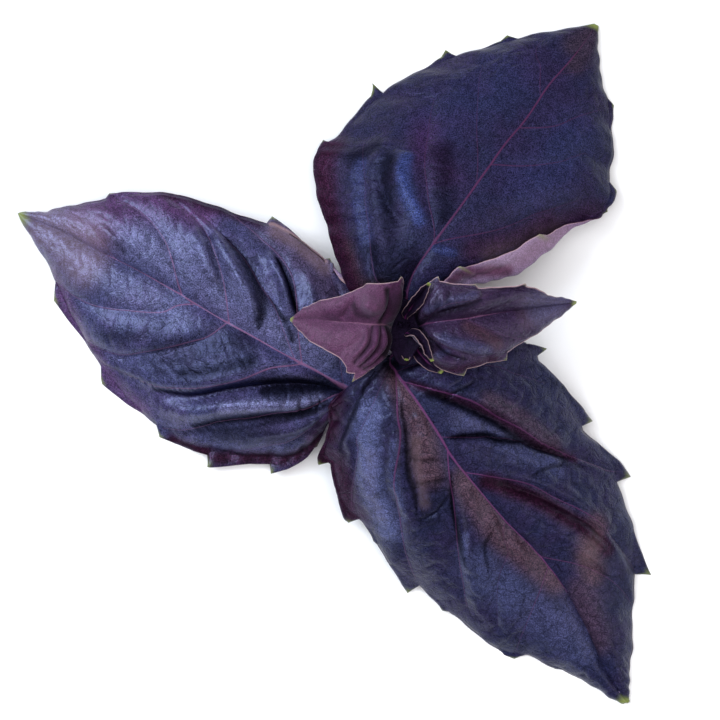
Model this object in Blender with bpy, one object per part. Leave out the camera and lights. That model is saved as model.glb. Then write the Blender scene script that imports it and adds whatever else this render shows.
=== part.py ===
"""Purple basil bunch: one cut sprig tip, lying on a flat surface, as separate leaves on a stem.

Sizes are written in millimetres and turned into metres when a mesh is made. +Z is up, the surface
is z = 0, and the origin is on it, under the middle of the bunch.

Every leaf is one closed sheet with its stalk. It is given by ribs: lines across the blade, each
with a point on the left margin, one on the midrib and one on the right margin, as seen from the
stem looking to the tip with the upper face up. A place along a leaf is a rib number: 0 is the
blade's base, negative numbers are on the stalk, and the last one is the tip.
"""
import math

import bpy
import numpy as np

MM = 0.001

# ------------------------------------------------------------------ driving sizes, in millimetres
LEAF_THICKNESS = 0.45
YOUNG_THICKNESS = 0.40
INNER_THICKNESS = 0.34
STALK_HALF_WIDTH = 0.75
STALK_DEPTH = 0.95           # how far a large leaf's stalk and midrib stand out below the blade
KEEL_HALF_WIDTH = 0.9
EVEN_HALF_WIDTH = 1.2        # beside the midrib the thickness is all measured in one direction
LIP = 0.35                   # the thin strip along every margin, which the teeth lengthen
ROLL_RADIUS = 0.95           # of a margin that is turned up or down
TOOTH_RISE = 0.62            # ribs from a tooth's foot to its point
TOOTH_DROP = 0.13            # ribs from its point to the notch on the tip side
TOOTH_LEAN = 0.25            # how far its point leans to the leaf's tip, as a part of its length
STEPS_PER_RIB = 2

STEM_PATH = [
    (11.8, 6.4, 17.4), (11.9, 5.9, 14.8), (12.0, 4.6, 12.0), (12.4, 0.6, 9.7),
    (13.3, -5.6, 7.4), (14.3, -11.0, 4.8), (15.6, -16.4, 1.75),
]
STEM_RADIUS = (1.10, 1.55)   # at the top and at the cut end
STEM_SQUARENESS = 0.10       # how far the four corners stand out, as a part of the radius
STEM_SIDES = 16

BUD_CENTRE = (11.8, 6.4, 18.95)
BUD_HALF_SIZE = (0.42, 0.52, 1.15)
BUD_GAP = 0.36

# ------------------------------------------------------------------------------------ the leaves
# bow: how far each half of the blade domes above the straight line from midrib to margin.
# teeth: (rib, length). turn: (rib, width of the turned strip, angle in degrees; up is positive).
LEAVES = {
    "large_leaf_left": dict(
        material=("leaf_purple", (0.060, 0.050, 0.110), 0.42),
        thickness=LEAF_THICKNESS,
        keel=STALK_DEPTH,
        stalk=[(11.3, -5.9, 7.2), (7.6, -5.4, 7.4)],
        stalk_half_width=STALK_HALF_WIDTH,
        ribs=[
            ((4.2, -6.2, 7.4), (4.2, -4.8, 7.7), (4.9, -3.2, 7.5)),
            ((2.2, -8.2, 6.9), (2.8, -4.2, 8.0), (7.2, 1.6, 7.6)),
            ((-1.2, -11.2, 5.4), (0.0, -2.8, 8.5), (6.6, 8.4, 8.0)),
            ((-5.0, -15.4, 3.4), (-3.6, -0.8, 9.2), (2.2, 11.8, 8.0)),
            ((-9.7, -16.7, 1.9), (-8.0, 1.4, 9.8), (-3.5, 17.6, 7.4)),
            ((-16.2, -16.6, 1.5), (-13.2, 4.4, 9.7), (-11.0, 23.2, 6.6)),
            ((-22.6, -15.0, 1.2), (-19.0, 7.6, 9.0), (-19.0, 25.8, 5.8)),
            ((-29.8, -11.0, 0.3), (-25.8, 11.7, 7.7), (-28.4, 28.4, 4.9)),
            ((-37.4, -3.9, 0.3), (-32.6, 15.6, 6.0), (-37.0, 27.9, 3.8)),
            ((-43.4, 5.6, 0.3), (-39.5, 19.0, 4.0), (-43.9, 27.0, 2.4)),
            ((-48.6, 16.2, 0.3), (-46.0, 22.6, 2.2), (-48.8, 26.1, 1.2)),
        ],
        tip=(-53.6, 25.5, 0.6),
        bow=(3.0, 1.8),
        teeth_left=[(2.55, 0.7), (4.05, 0.6), (5.7, 0.7), (6.9, 1.1), (8.2, 1.0), (9.6, 1.5)],
        teeth_right=[(3.95, 0.7), (5.0, 1.4), (8.1, 0.7)],
        turn_left=[(2.6, 0.0, 0), (3.6, 1.2, -55), (6.0, 1.2, -55), (7.2, 0.0, 0)],
        turn_right=[(1.3, 0.0, 0), (1.9, 1.1, 85), (2.7, 1.1, 85), (3.4, 0.0, 0)],
    ),
    "large_leaf_upper_right": dict(
        material=("leaf_purple", (0.060, 0.050, 0.110), 0.42),
        thickness=LEAF_THICKNESS,
        keel=STALK_DEPTH,
        stalk=[(12.0, 7.0, 12.4), (12.1, 9.0, 13.1)],
        stalk_half_width=STALK_HALF_WIDTH,
        ribs=[
            ((10.9, 11.0, 13.4), (12.2, 10.9, 13.7), (13.5, 10.9, 13.5)),
            ((7.2, 10.6, 12.2), (12.6, 13.0, 14.4), (17.0, 12.4, 13.0)),
            ((3.6, 11.6, 10.8), (13.6, 15.6, 15.0), (19.8, 13.8, 12.4)),
            ((1.3, 16.2, 9.0), (16.0, 19.1, 15.4), (23.9, 14.6, 11.3)),
            ((-0.6, 22.5, 7.0), (19.1, 23.3, 15.2), (29.0, 15.4, 9.7)),
            ((-2.5, 28.8, 5.0), (22.2, 27.5, 14.4), (34.6, 18.4, 7.9)),
            ((-2.8, 35.3, 3.4), (25.6, 32.3, 13.0), (40.3, 22.8, 5.9)),
            ((2.2, 39.5, 2.1), (28.9, 36.9, 11.2), (46.1, 27.1, 3.6)),
            ((9.0, 45.9, 1.3), (32.6, 41.4, 8.8), (47.0, 33.8, 1.8)),
            ((16.7, 50.2, 0.8), (36.4, 47.0, 6.2), (46.9, 40.5, 1.0)),
            ((25.3, 53.4, 0.5), (40.1, 51.3, 3.8), (46.0, 46.5, 0.6)),
            ((35.8, 56.2, 0.3), (42.9, 54.9, 1.8), (45.2, 52.4, 0.3)),
        ],
        tip=(44.7, 57.5, 0.4),
        bow=(2.2, 1.6),
        teeth_left=[(6.4, 0.8), (7.9, 1.5), (9.4, 1.5), (10.45, 1.1)],
        teeth_right=[(3.1, 1.0), (5.3, 1.0), (6.45, 0.6), (7.4, 1.1), (9.7, 1.0)],
        turn_left=[],
        turn_right=[(0.4, 0.0, 0), (1.4, 2.6, 165), (3.0, 4.6, 172), (4.2, 5.0, 172),
                    (5.4, 3.6, 165), (6.3, 1.2, 110), (6.9, 0.0, 0)],
    ),
    "large_leaf_lower_right": dict(
        material=("leaf_purple", (0.055, 0.048, 0.095), 0.42),
        thickness=LEAF_THICKNESS,
        keel=STALK_DEPTH,
        stalk=[(11.5, 2.5, 13.5), (10.4, 1.7, 14.1)],
        stalk_half_width=STALK_HALF_WIDTH,
        ribs=[
            ((11.2, 1.4, 14.5), (9.7, 0.9, 14.7), (8.4, 0.9, 14.3)),
            ((14.8, 3.2, 14.0), (9.5, 0.0, 15.1), (5.0, -2.6, 13.2)),
            ((20.6, 4.7, 12.9), (10.2, -1.0, 15.6), (0.8, -5.6, 11.2)),
            ((27.8, 4.6, 10.9), (11.7, -3.2, 16.3), (-0.7, -9.9, 9.3)),
            ((33.6, 2.2, 8.4), (14.3, -6.8, 16.6), (-1.0, -15.2, 7.6)),
            ((38.2, -3.9, 5.8), (17.2, -11.2, 16.2), (0.4, -21.9, 5.8)),
            ((42.3, -10.5, 3.6), (20.4, -16.3, 15.0), (5.4, -27.2, 4.6)),
            ((46.9, -16.7, 2.0), (24.2, -20.9, 13.2), (9.2, -33.6, 3.2)),
            ((50.4, -25.7, 1.2), (28.9, -26.3, 10.8), (15.4, -38.0, 2.1)),
            ((51.6, -34.2, 0.7), (33.8, -31.3, 8.2), (21.9, -42.9, 1.3)),
            ((51.0, -42.1, 0.4), (38.6, -37.2, 5.6), (29.1, -48.1, 0.8)),
            ((50.6, -49.5, 0.3), (43.1, -45.2, 3.0), (37.3, -51.7, 0.5)),
            ((50.4, -54.4, 0.3), (46.2, -52.0, 1.4), (44.3, -55.1, 0.3)),
        ],
        tip=(49.9, -57.6, 0.35),
        bow=(2.4, 2.8),
        teeth_left=[(4.05, 1.6), (5.9, 1.5), (7.3, 1.6), (9.05, 1.9)],
        teeth_right=[(4.1, 0.7), (5.85, 1.0), (6.5, 0.6), (7.8, 1.1), (8.65, 0.6),
                     (10.25, 1.1), (11.05, 0.7)],
        turn_left=[],
        turn_right=[(1.0, 0.0, 0), (2.0, 0.9, -50), (4.6, 0.9, -50), (6.0, 0.0, 0)],
    ),
    "young_leaf_left": dict(
        material=("leaf_pink", (0.180, 0.095, 0.150), 0.60),
        thickness=YOUNG_THICKNESS,
        keel=0.35,
        stalk=[(9.8, 6.1, 15.0), (9.8, 6.1, 16.2)],
        stalk_half_width=0.55,
        ribs=[
            ((9.2, 4.4, 17.6), (9.7, 6.1, 17.2), (10.1, 7.9, 17.8)),
            ((8.0, 1.2, 19.8), (9.5, 6.1, 19.2), (12.6, 12.0, 21.2)),
            ((6.2, -0.8, 21.4), (8.5, 6.4, 21.3), (11.4, 13.2, 23.0)),
            ((3.2, -1.2, 21.9), (6.6, 6.5, 22.0), (8.6, 12.9, 23.9)),
            ((1.5, 1.0, 21.9), (3.6, 6.7, 21.5), (5.5, 12.6, 23.6)),
            ((-1.1, 2.6, 21.4), (0.4, 7.0, 20.5), (2.0, 11.1, 22.2)),
            ((-3.6, 4.0, 20.3), (-3.0, 7.4, 19.4), (-2.0, 10.1, 20.4)),
            ((-5.4, 5.6, 19.1), (-5.1, 7.5, 18.7), (-4.6, 9.1, 19.1)),
        ],
        tip=(-7.0, 7.3, 18.2),
        bow=(0.5, 0.6),
        teeth_left=[(2.65, 1.5), (3.3, 0.5)],
        teeth_right=[(2.15, 1.0), (4.05, 0.3)],
        turn_left=[],
        turn_right=[],
    ),
    "young_leaf_right": dict(
        material=("leaf_purple_young", (0.075, 0.045, 0.095), 0.38),
        thickness=YOUNG_THICKNESS,
        keel=0.35,
        stalk=[(13.8, 6.1, 15.0), (13.8, 6.1, 15.9)],
        stalk_half_width=0.55,
        ribs=[
            ((13.9, 7.8, 16.9), (14.0, 6.1, 16.5), (13.9, 4.4, 16.9)),
            ((14.4, 11.6, 20.6), (14.6, 6.3, 18.6), (14.9, 2.4, 19.2)),
            ((16.4, 13.2, 23.3), (16.2, 6.7, 20.9), (16.4, 0.6, 20.9)),
            ((19.4, 12.9, 23.6), (18.6, 7.1, 21.9), (19.0, -0.9, 21.1)),
            ((24.6, 11.9, 23.0), (22.7, 7.6, 21.3), (24.9, 0.2, 20.3)),
            ((29.8, 12.2, 20.8), (27.9, 8.5, 19.5), (29.2, 2.5, 18.9)),
            ((34.3, 12.0, 18.6), (32.8, 9.2, 17.7), (33.8, 5.3, 17.3)),
            ((37.8, 11.2, 17.0), (37.2, 9.8, 16.7), (37.4, 7.8, 16.5)),
        ],
        tip=(40.4, 10.2, 15.9),
        bow=(1.0, 0.9),
        teeth_left=[(2.3, 0.7), (3.7, 0.6), (5.2, 0.7)],
        teeth_right=[(3.4, 1.1), (4.75, 1.3)],
        turn_left=[(3.6, 0.0, 0), (4.6, 0.7, 70), (5.6, 0.7, 70), (6.4, 0.0, 0)],
        turn_right=[],
    ),
    "inner_leaf_upper": dict(
        material=("leaf_purple_young", (0.075, 0.045, 0.095), 0.38),
        thickness=INNER_THICKNESS,
        keel=0.1,
        stalk=[(12.0, 7.5, 18.2)],
        stalk_half_width=0.35,
        ribs=[
            ((11.6, 8.3, 19.4), (12.1, 8.0, 18.9), (12.6, 7.9, 19.5)),
            ((12.1, 9.3, 21.6), (12.6, 8.8, 20.1), (13.5, 8.6, 21.4)),
            ((13.2, 10.8, 23.5), (13.6, 10.3, 21.8), (14.7, 10.0, 23.2)),
            ((14.5, 12.3, 24.7), (14.9, 12.0, 23.6), (15.5, 11.8, 24.4)),
        ],
        tip=(15.9, 13.2, 25.0),
        bow=(0.0, 0.0),
        teeth_left=[], teeth_right=[], turn_left=[], turn_right=[],
    ),
    "inner_leaf_lower": dict(
        material=("leaf_purple_young", (0.075, 0.045, 0.095), 0.38),
        thickness=INNER_THICKNESS,
        keel=0.1,
        stalk=[(12.1, 5.0, 18.2)],
        stalk_half_width=0.35,
        ribs=[
            ((13.1, 5.6, 19.9), (12.6, 4.9, 19.2), (12.2, 4.6, 19.9)),
            ((14.3, 5.2, 21.9), (13.5, 4.2, 20.7), (13.2, 4.6, 21.9)),
            ((15.4, 3.6, 23.2), (14.5, 3.0, 22.2), (14.4, 3.3, 23.2)),
            ((16.0, 1.9, 23.8), (15.4, 1.6, 23.1), (15.2, 1.7, 23.6)),
        ],
        tip=(16.4, 0.4, 23.9),
        bow=(0.0, 0.0),
        teeth_left=[], teeth_right=[], turn_left=[], turn_right=[],
    ),
    "side_shoot_leaf_1": dict(
        material=("leaf_purple_young", (0.075, 0.045, 0.095), 0.38),
        thickness=INNER_THICKNESS,
        keel=0.1,
        stalk=[(13.9, 2.6, 16.4)],
        stalk_half_width=0.35,
        ribs=[
            ((14.8, 2.4, 17.0), (14.3, 1.8, 16.7), (13.6, 1.5, 17.0)),
            ((16.0, 1.5, 17.9), (15.3, 0.6, 17.3), (14.4, 0.3, 17.8)),
            ((17.2, 0.1, 18.4), (16.7, -0.6, 17.9), (16.1, -1.0, 18.2)),
        ],
        tip=(18.1, -1.5, 18.6),
        bow=(0.0, 0.0),
        teeth_left=[], teeth_right=[], turn_left=[], turn_right=[],
    ),
    "side_shoot_leaf_2": dict(
        material=("leaf_purple_young", (0.075, 0.045, 0.095), 0.38),
        thickness=INNER_THICKNESS,
        keel=0.1,
        stalk=[(12.2, 2.5, 16.4)],
        stalk_half_width=0.35,
        ribs=[
            ((12.6, 1.8, 17.0), (12.2, 1.7, 16.8), (11.8, 1.9, 17.0)),
            ((12.7, 1.1, 18.0), (12.2, 0.9, 17.6), (11.6, 1.2, 18.0)),
        ],
        tip=(12.2, 0.6, 18.6),
        bow=(0.0, 0.0),
        teeth_left=[], teeth_right=[], turn_left=[], turn_right=[],
    ),
}

# rows from the midrib to the margin, closer together where a large leaf's midrib stands out
LARGE_ROWS = np.array([0.05, 0.20, 0.45, 0.72, 1.0])
YOUNG_ROWS = np.array([0.14, 0.40, 0.70, 1.0])
INNER_ROWS = np.array([0.45, 1.0])
FLAT_STRIP_ROWS = np.array([1.0])
TURNED_STRIP_ROWS = np.array([0.25, 0.5, 0.75, 1.0])
FOLDED_STRIP_ROWS = np.array([0.12, 0.24, 0.36, 0.5, 0.66, 0.83, 1.0])
UP = np.array([0.0, 0.0, 1.0])


# --------------------------------------------------------------------------------- small helpers
def clear_scene():
    """Remove every object, so the model is all that the file holds."""
    for item in list(bpy.data.objects):
        bpy.data.objects.remove(item, do_unlink=True)


def unit(vectors):
    """The same directions with length 1."""
    return vectors / np.maximum(np.linalg.norm(vectors, axis=-1, keepdims=True), 1e-12)


def rail(points, at):
    """A smooth curve through the points, read at fractional point numbers.

    Between two points it is a cubic, whose slope at each is half the step between its neighbours.
    """
    knots = np.asarray(points, float)
    slopes = np.gradient(knots, axis=0)
    first = np.clip(np.floor(at).astype(int), 0, len(knots) - 2)
    t = (at - first)[:, None]
    return (
        (2 * t**3 - 3 * t**2 + 1) * knots[first]
        + (t**3 - 2 * t**2 + t) * slopes[first]
        + (3 * t**2 - 2 * t**3) * knots[first + 1]
        + (t**3 - t**2) * slopes[first + 1]
    )


def make_material(name, colour, roughness):
    """A plain leaf or stem finish, made once and shared."""
    material = bpy.data.materials.get(name)
    if material is None:
        material = bpy.data.materials.new(name)
        material.use_nodes = True
        shader = material.node_tree.nodes["Principled BSDF"]
        shader.inputs["Base Color"].default_value = (*colour, 1.0)
        shader.inputs["Roughness"].default_value = roughness
        shader.inputs["Metallic"].default_value = 0.0
    return material


def make_object(name, points, faces, material):
    """One closed solid, from points in millimetres."""
    mesh = bpy.data.meshes.new(name)
    mesh.from_pydata((np.asarray(points) * MM).tolist(), [], faces)
    mesh.shade_smooth()
    mesh.materials.append(make_material(*material))
    item = bpy.data.objects.new(name, mesh)
    bpy.context.scene.collection.objects.link(item)
    return item


def closed_tube_faces(rings, sides):
    """Faces of a tube of rings of points, with a flat cap on each end."""
    faces = []
    for ring in range(rings - 1):
        for side in range(sides):
            following = (side + 1) % sides
            faces.append((
                ring * sides + side, ring * sides + following,
                (ring + 1) * sides + following, (ring + 1) * sides + side,
            ))
    faces.append(tuple(reversed(range(sides))))
    faces.append(tuple((rings - 1) * sides + side for side in range(sides)))
    return faces


# ---------------------------------------------------------------------------------------- leaves
def places_along(leaf):
    """Rib numbers of the cross lines: even steps, with one at each tooth's point and notch."""
    last = len(leaf["ribs"])
    first = -len(leaf["stalk"])
    steps = (last - first) * STEPS_PER_RIB
    places = list(np.linspace(first, last, steps + 1))
    for rib, _length in leaf["teeth_left"] + leaf["teeth_right"]:
        places = [p for p in places if abs(p - rib) > 0.2]
        places.append(rib)
    for rib, _length in leaf["teeth_left"] + leaf["teeth_right"]:
        notch = rib + TOOTH_DROP
        if min(abs(p - notch) for p in places) > 0.08:
            places.append(notch)
    return np.array(sorted(places))


def tooth_length(teeth, places):
    """Length of the teeth at each place: a slow rise to the point, then a steep drop."""
    length = np.zeros_like(places)
    for rib, size in teeth:
        rise = np.clip(1 - (rib - places) / TOOTH_RISE, 0, 1) ** 1.6
        drop = np.clip(1 - (places - rib) / TOOTH_DROP, 0, 1)
        length = np.maximum(length, size * np.where(places <= rib, rise, drop))
    return length


def profile(table, column, places):
    """Values of a turned margin's table, joined by straight lines."""
    if not table:
        return np.zeros_like(places)
    ribs = [row[0] for row in table]
    return np.interp(places, ribs, [row[column] for row in table], left=0, right=0)


def rows_for(leaf):
    """Rows across half a blade: a small leaf has fewer, so none is closer than its thickness."""
    if leaf["thickness"] == LEAF_THICKNESS:
        return LARGE_ROWS
    return YOUNG_ROWS if leaf["thickness"] == YOUNG_THICKNESS else INNER_ROWS


def leaf_half(leaf, places, mid, edge, bow, teeth, turn):
    """Rows of points from just beside the midrib out to the end of one margin's strip."""
    last = len(leaf["ribs"])
    swell = np.clip(places / last, 0, 1)
    dome = bow * np.sin(math.pi * swell) ** 0.7
    blade_rows = rows_for(leaf)
    rows = [
        mid + (edge - mid) * s + UP * (dome * 4 * s * (1 - s))[:, None]
        for s in blade_rows
    ]
    angle = np.radians(profile(turn, 2, places))
    bent = np.abs(angle)
    teeth_now = tooth_length(teeth, places)
    on_blade = np.clip((places + 0.6) / 0.6, 0.15, 1) * np.clip((last - places) / 1.5, 0.1, 1)
    width = LIP * on_blade + profile(turn, 1, places) + teeth_now
    outward = unit(rows[-1] - rows[-2])
    deepest = (leaf["thickness"] / 2 - edge[:, 2]) / width
    outward[:, 2] = np.maximum(outward[:, 2], np.minimum(deepest, 0))
    outward = unit(outward)
    forward = unit(np.gradient(edge, axis=0))
    normal = unit(np.cross(outward, forward))
    normal *= np.sign(normal[:, 2:3])
    biggest = float(bent.max())
    strip_rows = FLAT_STRIP_ROWS
    if biggest > 0.2:
        strip_rows = TURNED_STRIP_ROWS
    if biggest > 2.0:
        strip_rows = FOLDED_STRIP_ROWS
    radius = np.minimum(ROLL_RADIUS, 0.6 * width / np.maximum(bent, 0.2))
    arc = radius * bent
    for part in strip_rows:
        along = width * part
        round_part = np.minimum(along, arc)
        straight = along - round_part
        turned = round_part / radius
        out = radius * np.sin(turned) + straight * np.cos(turned)
        rise = (radius * (1 - np.cos(turned)) + straight * np.sin(turned)) * np.sign(angle)
        lean = TOOTH_LEAN * teeth_now * part
        rows.append(
            rows[len(blade_rows) - 1]
            + outward * out[:, None] + normal * rise[:, None] + forward * lean[:, None]
        )
    return rows


def leaf_rails(leaf):
    """The leaf's three rails of points: left margin, midrib and right margin."""
    stalk = [np.array(point) for point in leaf["stalk"]]
    ribs = [tuple(np.array(point) for point in rib) for rib in leaf["ribs"]]
    tip = np.array(leaf["tip"])
    middle = stalk + [rib[1] for rib in ribs] + [tip]
    first_rib = ribs[0]
    across = unit(first_rib[0] - first_rib[2])
    side = across * leaf["stalk_half_width"]
    end_side = unit(ribs[-1][0] - ribs[-1][2]) * 0.25
    left = [point + side for point in stalk] + [rib[0] for rib in ribs] + [tip + end_side]
    right = [point - side for point in stalk] + [rib[2] for rib in ribs] + [tip - end_side]
    return left, middle, right


def build_leaf(name, leaf):
    """One leaf: a sheet of even thickness with a rounded stalk and midrib standing out below."""
    places = places_along(leaf)
    at = places + len(leaf["stalk"])
    left, middle, right = (rail(points, at) for points in leaf_rails(leaf))
    left_rows = leaf_half(
        leaf, places, middle, left, leaf["bow"][0], leaf["teeth_left"], leaf["turn_left"])
    right_rows = leaf_half(
        leaf, places, middle, right, leaf["bow"][1], leaf["teeth_right"], leaf["turn_right"])
    sheet = np.stack(left_rows[::-1] + [middle] + right_rows, axis=1)
    centre = len(left_rows)
    from_midrib = np.linalg.norm(sheet - sheet[:, centre:centre + 1], axis=2)
    last = len(leaf["ribs"])
    fade = np.clip((last - places) / last, 0, 1)[:, None] ** 0.8
    keel = leaf["keel"] * fade * np.exp(-((from_midrib / KEEL_HALF_WIDTH) ** 2))
    half = leaf["thickness"] / 2
    sheet[..., 2] = np.maximum(sheet[..., 2], half + keel)
    along = np.gradient(sheet, axis=0)
    across = np.gradient(sheet, axis=1)
    normal = unit(np.cross(across, along))
    if normal[len(places) // 2, centre, 2] < 0:
        normal = -normal
    at_midrib = normal[:, centre:centre + 1]
    own = np.clip(from_midrib / EVEN_HALF_WIDTH, 0, 1)[..., None]
    normal = unit(normal * own + at_midrib * (1 - own))
    top = sheet + normal * half
    bottom = sheet - normal * half - at_midrib * keel[..., None]
    bottom[..., 2] = np.maximum(bottom[..., 2], 0.0)
    rings = np.concatenate([top, bottom[:, ::-1]], axis=1)
    count, sides = rings.shape[:2]
    faces = leaf_faces(count, sides)
    item = make_object(name, rings.reshape(-1, 3), faces, leaf["material"])
    turn_outward(item)
    return item


def leaf_faces(count, sides):
    """Faces of a flattened tube, whose two ends are closed by strips of four-sided faces."""
    faces = closed_tube_faces(count, sides)[:-2]
    for ring, flip in ((0, True), (count - 1, False)):
        start = ring * sides
        for step in range(sides // 2 - 1):
            face = (
                start + step, start + step + 1,
                start + sides - 2 - step, start + sides - 1 - step,
            )
            faces.append(face[::-1] if flip else face)
    return faces


def turn_outward(item):
    """Flip a closed mesh whose faces point in, told by the sign of its volume."""
    mesh = item.data
    mesh.calc_loop_triangles()
    volume = sum(
        mesh.vertices[a].co.dot(mesh.vertices[b].co.cross(mesh.vertices[c].co))
        for a, b, c in (triangle.vertices for triangle in mesh.loop_triangles)
    )
    if volume < 0:
        mesh.flip_normals()


# ------------------------------------------------------------------------------- stem and the bud
def build_stem():
    """The square stem: a rounded four-cornered outline swept along its path, thicker below."""
    steps = 4 * (len(STEM_PATH) - 1) + 1
    at = np.linspace(0, len(STEM_PATH) - 1, steps)
    path = rail(STEM_PATH, at)
    heading = unit(np.gradient(path, axis=0))
    side = unit(np.cross(heading, np.array([1.0, 0.0, 0.0])))
    other = np.cross(heading, side)
    radius = np.interp(at, [0, len(STEM_PATH) - 1], STEM_RADIUS)[:, None, None]
    turn = np.linspace(0, 2 * math.pi, STEM_SIDES, endpoint=False)
    outline = (1 + STEM_SQUARENESS * np.cos(4 * turn))[None, :, None]
    rings = path[:, None] + radius * outline * (
        np.cos(turn)[None, :, None] * side[:, None] + np.sin(turn)[None, :, None] * other[:, None]
    )
    rings[..., 2] = np.maximum(rings[..., 2], 0.0)
    item = make_object(
        "stem", rings.reshape(-1, 3), closed_tube_faces(steps, STEM_SIDES),
        ("stem_purple", (0.090, 0.045, 0.080), 0.50))
    turn_outward(item)
    return item


def build_bud():
    """Two closed bud leaves, face to face on top of the stem: each is a small egg of rings."""
    rings, sides = 7, 10
    lean = np.linspace(0.14, 0.93, rings) * math.pi
    turn = np.linspace(0, 2 * math.pi, sides, endpoint=False)
    for number, sign in ((1, -1), (2, 1)):
        centre = np.array(BUD_CENTRE) + np.array([sign * (BUD_HALF_SIZE[0] + BUD_GAP / 2), 0, 0])
        x = BUD_HALF_SIZE[0] * np.sin(lean)[:, None] * np.cos(turn)
        y = BUD_HALF_SIZE[1] * np.sin(lean)[:, None] * np.sin(turn)
        z = BUD_HALF_SIZE[2] * np.cos(lean)[:, None] * np.ones(sides)
        points = centre + np.stack([x, y, z], axis=-1)
        item = make_object(
            f"bud_leaf_{number}", points.reshape(-1, 3), closed_tube_faces(rings, sides),
            ("leaf_purple_young", (0.075, 0.045, 0.095), 0.38))
        turn_outward(item)


def main():
    clear_scene()
    build_stem()
    for name, leaf in LEAVES.items():
        build_leaf(name, leaf)
    build_bud()


main()
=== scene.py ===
"""Purple basil bunch: a cut sprig tip with broad toothed leaves, built leaf by leaf.

Every leaf is a thin closed sheet worked out from ribs: lines across the blade, each with a point
on the left margin, one on the midrib and one on the right margin, as seen from the stem looking to
the tip with the upper face up. A place on half a leaf is a pair: a rib number (0 at the blade's
base, negative on the stalk, the last one at the tip) and a row (0 on the midrib, 1 on the margin,
1 to 2 on the strip outside it, which the teeth lengthen and which may be turned). Lengths are in
millimetres until a mesh is made.
"""

import math

import bpy
import numpy as np
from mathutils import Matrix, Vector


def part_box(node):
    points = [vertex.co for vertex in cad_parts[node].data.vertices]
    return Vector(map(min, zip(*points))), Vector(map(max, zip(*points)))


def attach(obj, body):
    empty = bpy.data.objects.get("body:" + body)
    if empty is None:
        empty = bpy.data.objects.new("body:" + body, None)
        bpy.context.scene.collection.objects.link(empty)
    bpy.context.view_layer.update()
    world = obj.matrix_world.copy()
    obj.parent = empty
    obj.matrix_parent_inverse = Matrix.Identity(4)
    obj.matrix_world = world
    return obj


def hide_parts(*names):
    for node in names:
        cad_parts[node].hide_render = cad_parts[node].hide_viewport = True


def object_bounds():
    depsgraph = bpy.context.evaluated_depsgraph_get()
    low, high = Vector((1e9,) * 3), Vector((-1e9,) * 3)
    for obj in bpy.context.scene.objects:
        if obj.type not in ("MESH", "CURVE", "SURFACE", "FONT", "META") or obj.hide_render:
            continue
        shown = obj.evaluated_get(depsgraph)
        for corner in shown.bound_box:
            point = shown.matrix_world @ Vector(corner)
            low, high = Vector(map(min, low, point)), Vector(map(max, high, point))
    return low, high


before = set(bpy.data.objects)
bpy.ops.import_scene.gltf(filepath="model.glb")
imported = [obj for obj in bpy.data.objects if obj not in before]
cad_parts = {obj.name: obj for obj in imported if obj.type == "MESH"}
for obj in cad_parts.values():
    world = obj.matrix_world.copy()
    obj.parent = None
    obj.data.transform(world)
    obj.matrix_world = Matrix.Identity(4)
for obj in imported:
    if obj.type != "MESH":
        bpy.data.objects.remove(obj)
CAD_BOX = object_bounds()

bl_info = {
    "name": "Purple Basil Bunch",
    "version": (1, 0, 0),
    "blender": (4, 5, 0),
    "location": "3D View > Sidebar > Basil",
    "description": "A cut tip of purple basil with detailed leaves, stem and a pale stage",
    "category": "Add Mesh",
}

MM = 0.001
UP = np.array([0.0, 0.0, 1.0])
TOOTH_DROP = 0.13            # ribs from a tooth's point to the notch on its tip side
TOOTH_LEAN = 0.25            # how far the point leans to the leaf's tip, as a part of its length
LIP = 0.35                   # width of the plain strip outside the margin rail
STALK_LIP, TIP_LIP = 0.15, 0.1     # parts of that width on the stalk and at the tip
AIM = 0.72                   # row from which the strip takes its direction
FLAT_STRIPS, ROUND_STRIPS = 5, 20  # steps across a flat strip, and those a full turn adds
ROLL_RADIUS = 0.95           # of a margin that is turned up or down
ROW_CROWDING = 1.15          # above 1 the rows stand closer together beside the midrib
RUNG_GAP = 3.0               # between two rungs of the ladder of fine veins
RUNG_SLANT = (0.75, 0.6)     # how much the rungs count the way outwards and the way to the tip
VEIN_FADE = 0.65             # part of its strength that a side vein loses on its way outwards
QUILT = 0.1                  # height of the cushions between the rungs, where a half names none
GROOVE = (0.16, 0.5)         # depth and width of the groove along a side vein
VEIN_BELOW = (0.14, 0.35)    # height and width of a side vein on the lower face
VALLEY = (0.42, 1.1)         # depth and width of the valley along the midrib
CREST = (0.14, 0.35)         # height and width of the midrib in that valley
KEEL_WIDTH = 0.9             # of the midrib on the lower face
THIN_EDGE = (0.35, 0.45)     # part of the thickness left at the margin, and where it is whole again
WAVES = ((0.16, 5.3, 1.1), (0.1, 11.7, 0.4))     # of the margin: height, turn a rib, start
LARGE = 11                   # ribs of a leaf that has the waves and the valley at full height
FAR = 9.0                    # a distance that no vein's colour reaches
# Kinds of tint: dark is painted shade, bloom a painted blue sheen, cream a pale colour that also
# paints glints; wine, brown and plum are the leaf's own colours.
TINTS = ("wine", "brown", "plum", "bloom", "dark", "cream")
MASKS = (*TINTS, "green")
KEPT = (*MASKS, "field", "force", "midrib", "margin", "along")     # kept on each mesh
VEINLET_WARP = 0.0009        # how far the net of small veins wanders, in metres
LINE_DEPTH, GLAND_DEPTH = 0.015, 0.012
# Cream: the pale colour of turned margins, also laid as painted glints on ridges and tips.
CREAM_AND_GLINT = (0.42, 0.27, 0.27, 1.0)
SHEEN_ROUGHNESS, SHEEN_TINT = 0.6, (0.75, 0.72, 0.95, 1.0)
COLLAR_CENTRE = (11.7, 5.2)
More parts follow.
